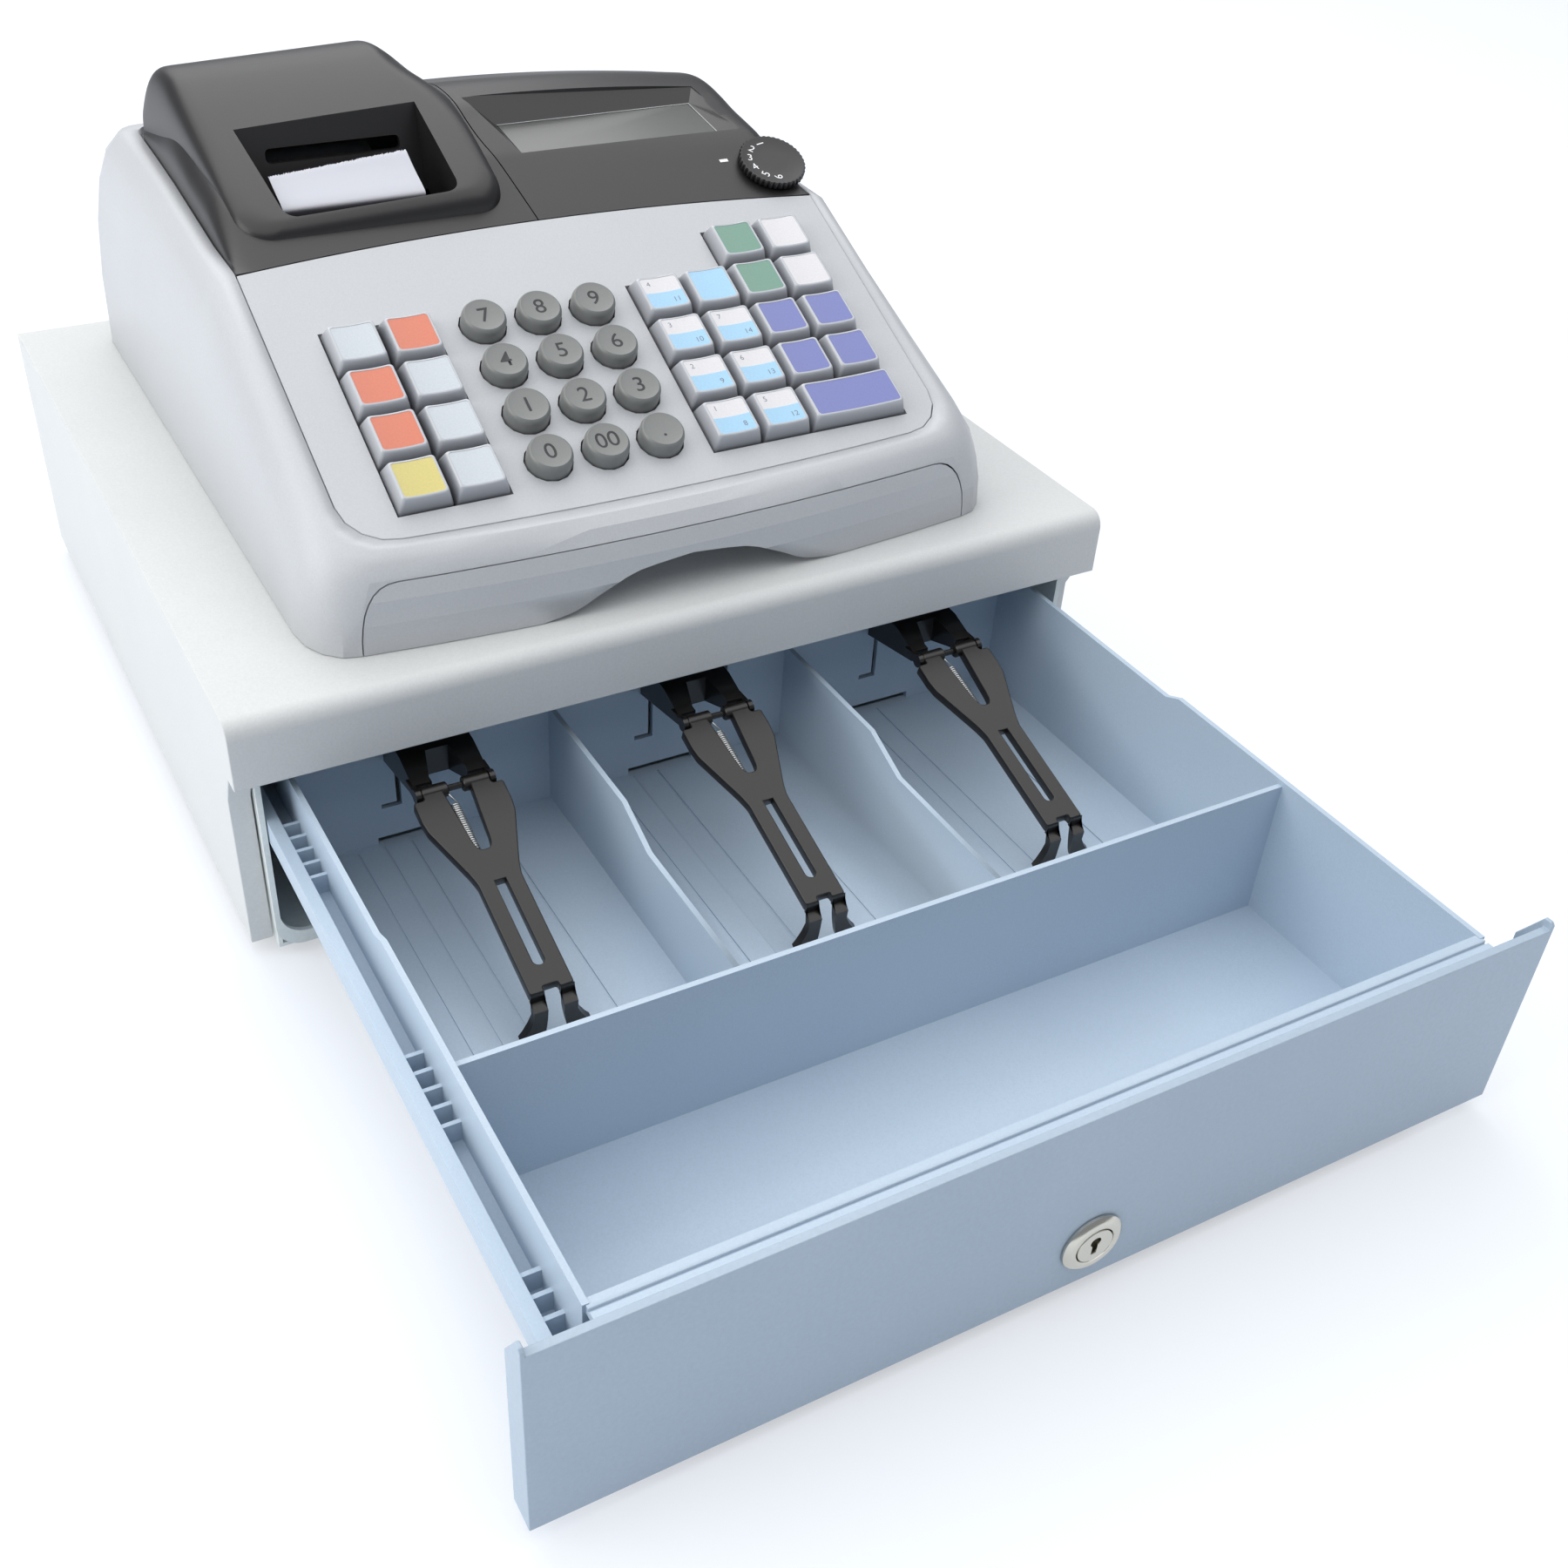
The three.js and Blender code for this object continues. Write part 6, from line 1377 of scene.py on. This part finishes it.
def lcd_plate(margin, upper, lower):
    """A plate parallel to the display's floor, between two depths below it."""
    slope = (LCD_RISES[1] - LCD_RISES[0]) / (LCD_RUN[1] - LCD_RUN[0])
    start, end = LCD_RUN[0] - margin, LCD_RUN[1] + margin
    low, high = [LCD_RISES[0] + (y - LCD_RUN[0]) * slope for y in (start, end)]
    outline = [(start, low - lower), (end, high - lower), (end, high - upper), (start, low - upper)]
    return across(outline, LCD_SIDES[0] - margin, LCD_SIDES[1] + margin)


def recess_body():
    """The slanting hollow over the display: its floor, and its mouth in the cover's surface."""
    (left, right), (front, back), (low, high) = LCD_SIDES, LCD_RUN, LCD_RISES
    floor_ring = [(left, front, low), (right, front, low), (right, back, high), (left, back, high)]
    return prism([floor_ring, RECESS_MOUTH, [(x, y, z + CLEAR) for x, y, z in RECESS_MOUTH]])


def shaft_hole():
    """The hole for the dial's shaft, square to the keyboard's plane."""
    hole = prism([[(SHAFT_HOLE * math.cos(a), SHAFT_HOLE * math.sin(a), z) for a in around(SHAFT_STEPS)]
                  for z in (-CLEAR, CLEAR)])
    undo = Matrix.Translation(Vector((0, -LIP_TO_ROW, -LID_TO_ROW)) * MM)
    hole.transform(on_board(*DIAL_PLACE) @ undo)
    return hole


def display_cover():
    """The shell over the display: a thin skin that is solid round the recess."""
    outer = cover_body(1, 0, RIM_BACK - COVER_SEAM, COVER_WALL + COVER_SEAM)
    inner = cover_body(1, COVER_WALL, RIM_BACK - COVER_SEAM, INNER_DROP, COARSE_STEPS)
    front, back, top = LCD_RUN[0] - COVER_WALL, RECESS_BACK + COVER_WALL, CREST_RISE + CLEAR
    low, high = (rise - LCD_DEPTH for rise in LCD_RISES)
    side_view = [(front, low), (back, high), (back, top), (front, top)]
    solid = across(side_view, RECESS_SIDES[0] - COVER_WALL, RECESS_SIDES[1] + COVER_WALL)
    cavity = cut(inner, solid, lcd_plate(LCD_MARGIN + COVER_WALL, 0, LCD_DEPTH))
    shell = cut(outer, cavity, recess_body(), lcd_plate(LCD_MARGIN, COVER_WALL / 2, LCD_DEPTH + CLEAR),
                lcd_plate(-LCD_OVERLAP, -LCD_DEPTH, LCD_DEPTH + CLEAR), shaft_hole())
    return cover_piece("display_cover_moulding", shell, "display_cover")


moulding = display_cover()
print("display cover:", len(moulding.data.polygons), "faces")

# %% [markdown]
# ## Mode dial
# The dial is a flat dark disc with a knurled rim, and it points at a white dash on the cover.
# Its teeth are small round scallops, made here by a rim whose radius swings with the angle.

# %% Dial
DIAL_RADIUS = 14.5
DIAL_TEETH = 40
DIAL_STEPS = DIAL_TEETH * 6
DIAL_LOW = 0.7
DIAL_TOP = 3.9
DIAL_FACE = DIAL_TOP - 0.12
DIAL_LEVELS = [(3, -12, 0), (3, DIAL_LOW, 0), (DIAL_RADIUS - 0.5, DIAL_LOW, 0.6),
               (DIAL_RADIUS, DIAL_LOW + 0.4, 0.7), (DIAL_RADIUS, DIAL_TOP - 0.5, 0.7),
               (DIAL_RADIUS - 0.4, DIAL_TOP, 0.4), (DIAL_RADIUS - 1.3, DIAL_TOP, 0),
               (DIAL_RADIUS - 1.6, DIAL_FACE, 0), (5, DIAL_FACE, 0)]
DIAL_NUMBERS = 6
NUMBER_RADIUS = 10
NUMBER_SIZE = 5.2
FIRST_NUMBER = 100
NUMBER_STEP = 32
INDEX_PLACE = (92.4, 25.6)
INDEX_SIZE = 15
INDEX_LIFT = 0.05
INDEX_BOLD = 0.1
HEIGHT_ROUNDS = 12


def dial_ring(radius, height, depth):
    """A ring of points whose radius dips at each knurl by the depth."""
    dips = [(a, radius - depth * abs(math.sin(a * DIAL_TEETH / 2)) ** 3) for a in around(DIAL_STEPS)]
    return [(dip * math.cos(a), dip * math.sin(a), height) for a, dip in dips]


def mode_dial():
    """The dial on its shaft. Its levels list radii, heights and depths of the knurls."""
    shape = bmesh.new()
    bands = lofted(shape, [dial_ring(*level) for level in DIAL_LEVELS])
    shape.faces.new([face.verts[0] for face in reversed(bands[0])])
    mesh = finished_mesh("dial_disc", shape, [finishes["dark_plastic"]], 50)
    return link_piece("dial_disc", mesh, "dial", on_board(*DIAL_PLACE), "mode_dial")


mode_dial()
for number in range(DIAL_NUMBERS):
    turn = Matrix.Rotation(math.radians(FIRST_NUMBER + number * NUMBER_STEP), 4, "Z")
    out = Matrix.Translation(Vector((NUMBER_RADIUS, 0, 0)) * MM)
    spot = on_board(*DIAL_PLACE) @ turn @ out @ Matrix.Rotation(-math.pi, 4, "Z")
    printed(f"dial_number_{number + 1}", str(number + 1), NUMBER_SIZE, spot, "dial", white_ink,
            lambda x, y: DIAL_FACE)


def cover_height(x, y):
    """Height of the display's cover over a place on the keyboard's plane, in millimetres.
    Each round moves along the plane's normal by the gap that is left."""
    height = 0
    for _ in range(HEIGHT_ROUNDS):
        point = on_board(x, y) @ Vector((0, 0, height * MM)) / MM
        gap = cover_rise(point.x, point.y - LIP_TO_ROW) + LID_TO_ROW - point.z
        height += gap * math.cos(BOARD_TILT)
    return height


cover_carrier = frame["nodes"]["display_cover"]["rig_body"]
printed("dial_index", "-", INDEX_SIZE, on_board(*INDEX_PLACE), cover_carrier, white_ink,
        lambda x, y: cover_height(INDEX_PLACE[0] + x, INDEX_PLACE[1] + y) + INDEX_LIFT, bold=INDEX_BOLD)
print("dial teeth:", DIAL_TEETH, "index height:", round(cover_height(*INDEX_PLACE), 2))

# %% [markdown]
# ## Receipt paper
# Thermal paper comes out of the printer in a slight bow, and its edge is torn along the cutter's fine teeth.
# A grid of points can carry both: rows for the bow, and a fine random tear in the last row.


# %% Paper
def thermal_paper():
    """Smooth white coated paper, with a trace of blue brightener and a little light passing through."""
    material, tree, place = patterned("thermal_paper")
    fibre = noise(tree, place, 1.5, 5.0)
    return surfaced(material, tree, linear("c3c3cb"), 0.6, Subsurface_Weight=0.1, Subsurface_Scale=0.5 * MM,
                    Normal=relief(tree, fibre, 0.04, 0.4))


finishes["paper"] = thermal_paper()
PAPER_LEFT = -94.8
PAPER_WIDTH = 57
PAPER_PLACE = 188.14
PAPER_BOTTOM = 84
PAPER_TORN = 112.6
PAPER_SLANT = 2.8
PAPER_THICK = 0.12
PAPER_CURL = [(0, 0), (6.8, 0), (10, -3.5), (14.5, -8.5), (17.5, -10.8), (19.5, -8), (21.5, -3.3),
              (24.6, 3.3), (28.6, 10.2)]
PAPER_GRID = (190, 40)
TEAR_SEED = 7
TEAR_DEPTH = 0.45
TOOTH_DEPTH = 0.35
TOOTH_TURN = 0.9


def torn_edge(columns):
    """How far the tear cuts into each column: the cutter's teeth, with a fine random fray."""
    tear = random.Random(TEAR_SEED)
    return [tear.uniform(0, TEAR_DEPTH) + TOOTH_DEPTH * abs(math.sin(i * TOOTH_TURN))
            for i in range(columns + 1)]


def receipt_paper():
    """The strip that stands in the window, as a front and a back grid that are joined round their edge."""
    columns, rows = PAPER_GRID
    edge = torn_edge(columns)
    shape = bmesh.new()
    sheets = []
    for side in (0, 1):
        verts = []
        for j in range(rows + 1):
            for i in range(columns + 1):
                low = PAPER_SLANT * j / rows * (1 - i / columns)
                rise = mix(PAPER_BOTTOM, PAPER_TORN - low, j / rows)
                place = PAPER_PLACE + smooth(PAPER_CURL, rise - PAPER_BOTTOM) + side * PAPER_THICK
                top = rise - (edge[i] if j == rows else 0)
                verts.append(shape.verts.new(row_frame((PAPER_LEFT + PAPER_WIDTH * i / columns, place, top))))
        sheets.append(verts)
    front, back = sheets
    wide = columns + 1
    for j in range(rows):
        for a in range(j * wide, j * wide + columns):
            shape.faces.new((front[a], front[a + 1], front[a + wide + 1], front[a + wide]))
            shape.faces.new((back[a + 1], back[a], back[a + wide], back[a + wide + 1]))
    rim = grid_rim(wide, rows + 1)
    for a, b in zip(rim, rim[1:] + rim[:1]):
        shape.faces.new((back[a], back[b], front[b], front[a]))
    mesh = finished_mesh("receipt_strip", shape, [finishes["paper"]], 60)
    return link_piece("receipt_strip", mesh, "printer_lid", None, "receipt_paper")


receipt_paper()
refined("paper_roll", "paper")
print("paper width:", PAPER_WIDTH, "mm")

# %% [markdown]
# ## Display
# Behind a clear window lies a reflective liquid crystal display, grey-green and unlit, so it shows no digits.
# The glass is one glossy plate. The shade across it is painted: a gradient darkens it towards its back edge.


# %% Display glass
LENS_EDGE = 0.22
LENS_INSET = 0.35


def display_glass():
    """A reflective liquid crystal cell under clear plastic: a dull grey-green with painted shade that darkens
    it towards its top.
    """
    material, tree, place = patterned("liquid_crystal_painted_shade")
    along = add(tree, "ShaderNodeSeparateXYZ", {"Vector": place}).outputs["Y"]
    # Painted shade: the grey-green darkens from the display's front edge to its back edge.
    share = spread(tree, along, 0.0, 1.0, *((y + LIP_TO_ROW) * MM for y in LCD_RUN))
    return surfaced(material, tree, blend(tree, share, "3c3f3a", "2b2d2b"), 0.4, Coat_Weight=0.6,
                    Coat_Roughness=0.2)


def lens_edge():
    """The clear lens over the display. A pale rod along its back and right edges is a painted highlight: it
    stands for the glint of light on the lens's edges.
    """
    (front, back), (left, right), (low, high) = LCD_RUN, LCD_SIDES, LCD_RISES
    line = bpy.data.curves.new("lens_edge", "CURVE")
    line.dimensions = "3D"
    line.bevel_depth = LENS_EDGE * MM
    corners = [(left + LENS_INSET, back - LENS_INSET, high), (right - LENS_INSET, back - LENS_INSET, high),
               (right - LENS_INSET, front + LENS_INSET, low)]
    polyline(line, [row_frame(corner) for corner in corners])
    mesh = mesh_of(line)
    # Painted highlight: a pale rod where the lens's edges catch the light.
    only(mesh, acrylic("lens_edge_painted_glint", "a9abac", 0.5))
    return link_piece("lens_edge", mesh, frame["nodes"]["display_module"]["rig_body"])


finishes["display_glass"] = display_glass()
refined("display_module", "display_glass", edge=0.3)
lens_edge()
refined("printer_unit", "black_plastic", edge=0.3)
refined("circuit_board", "board_laminate")
print("display ready")
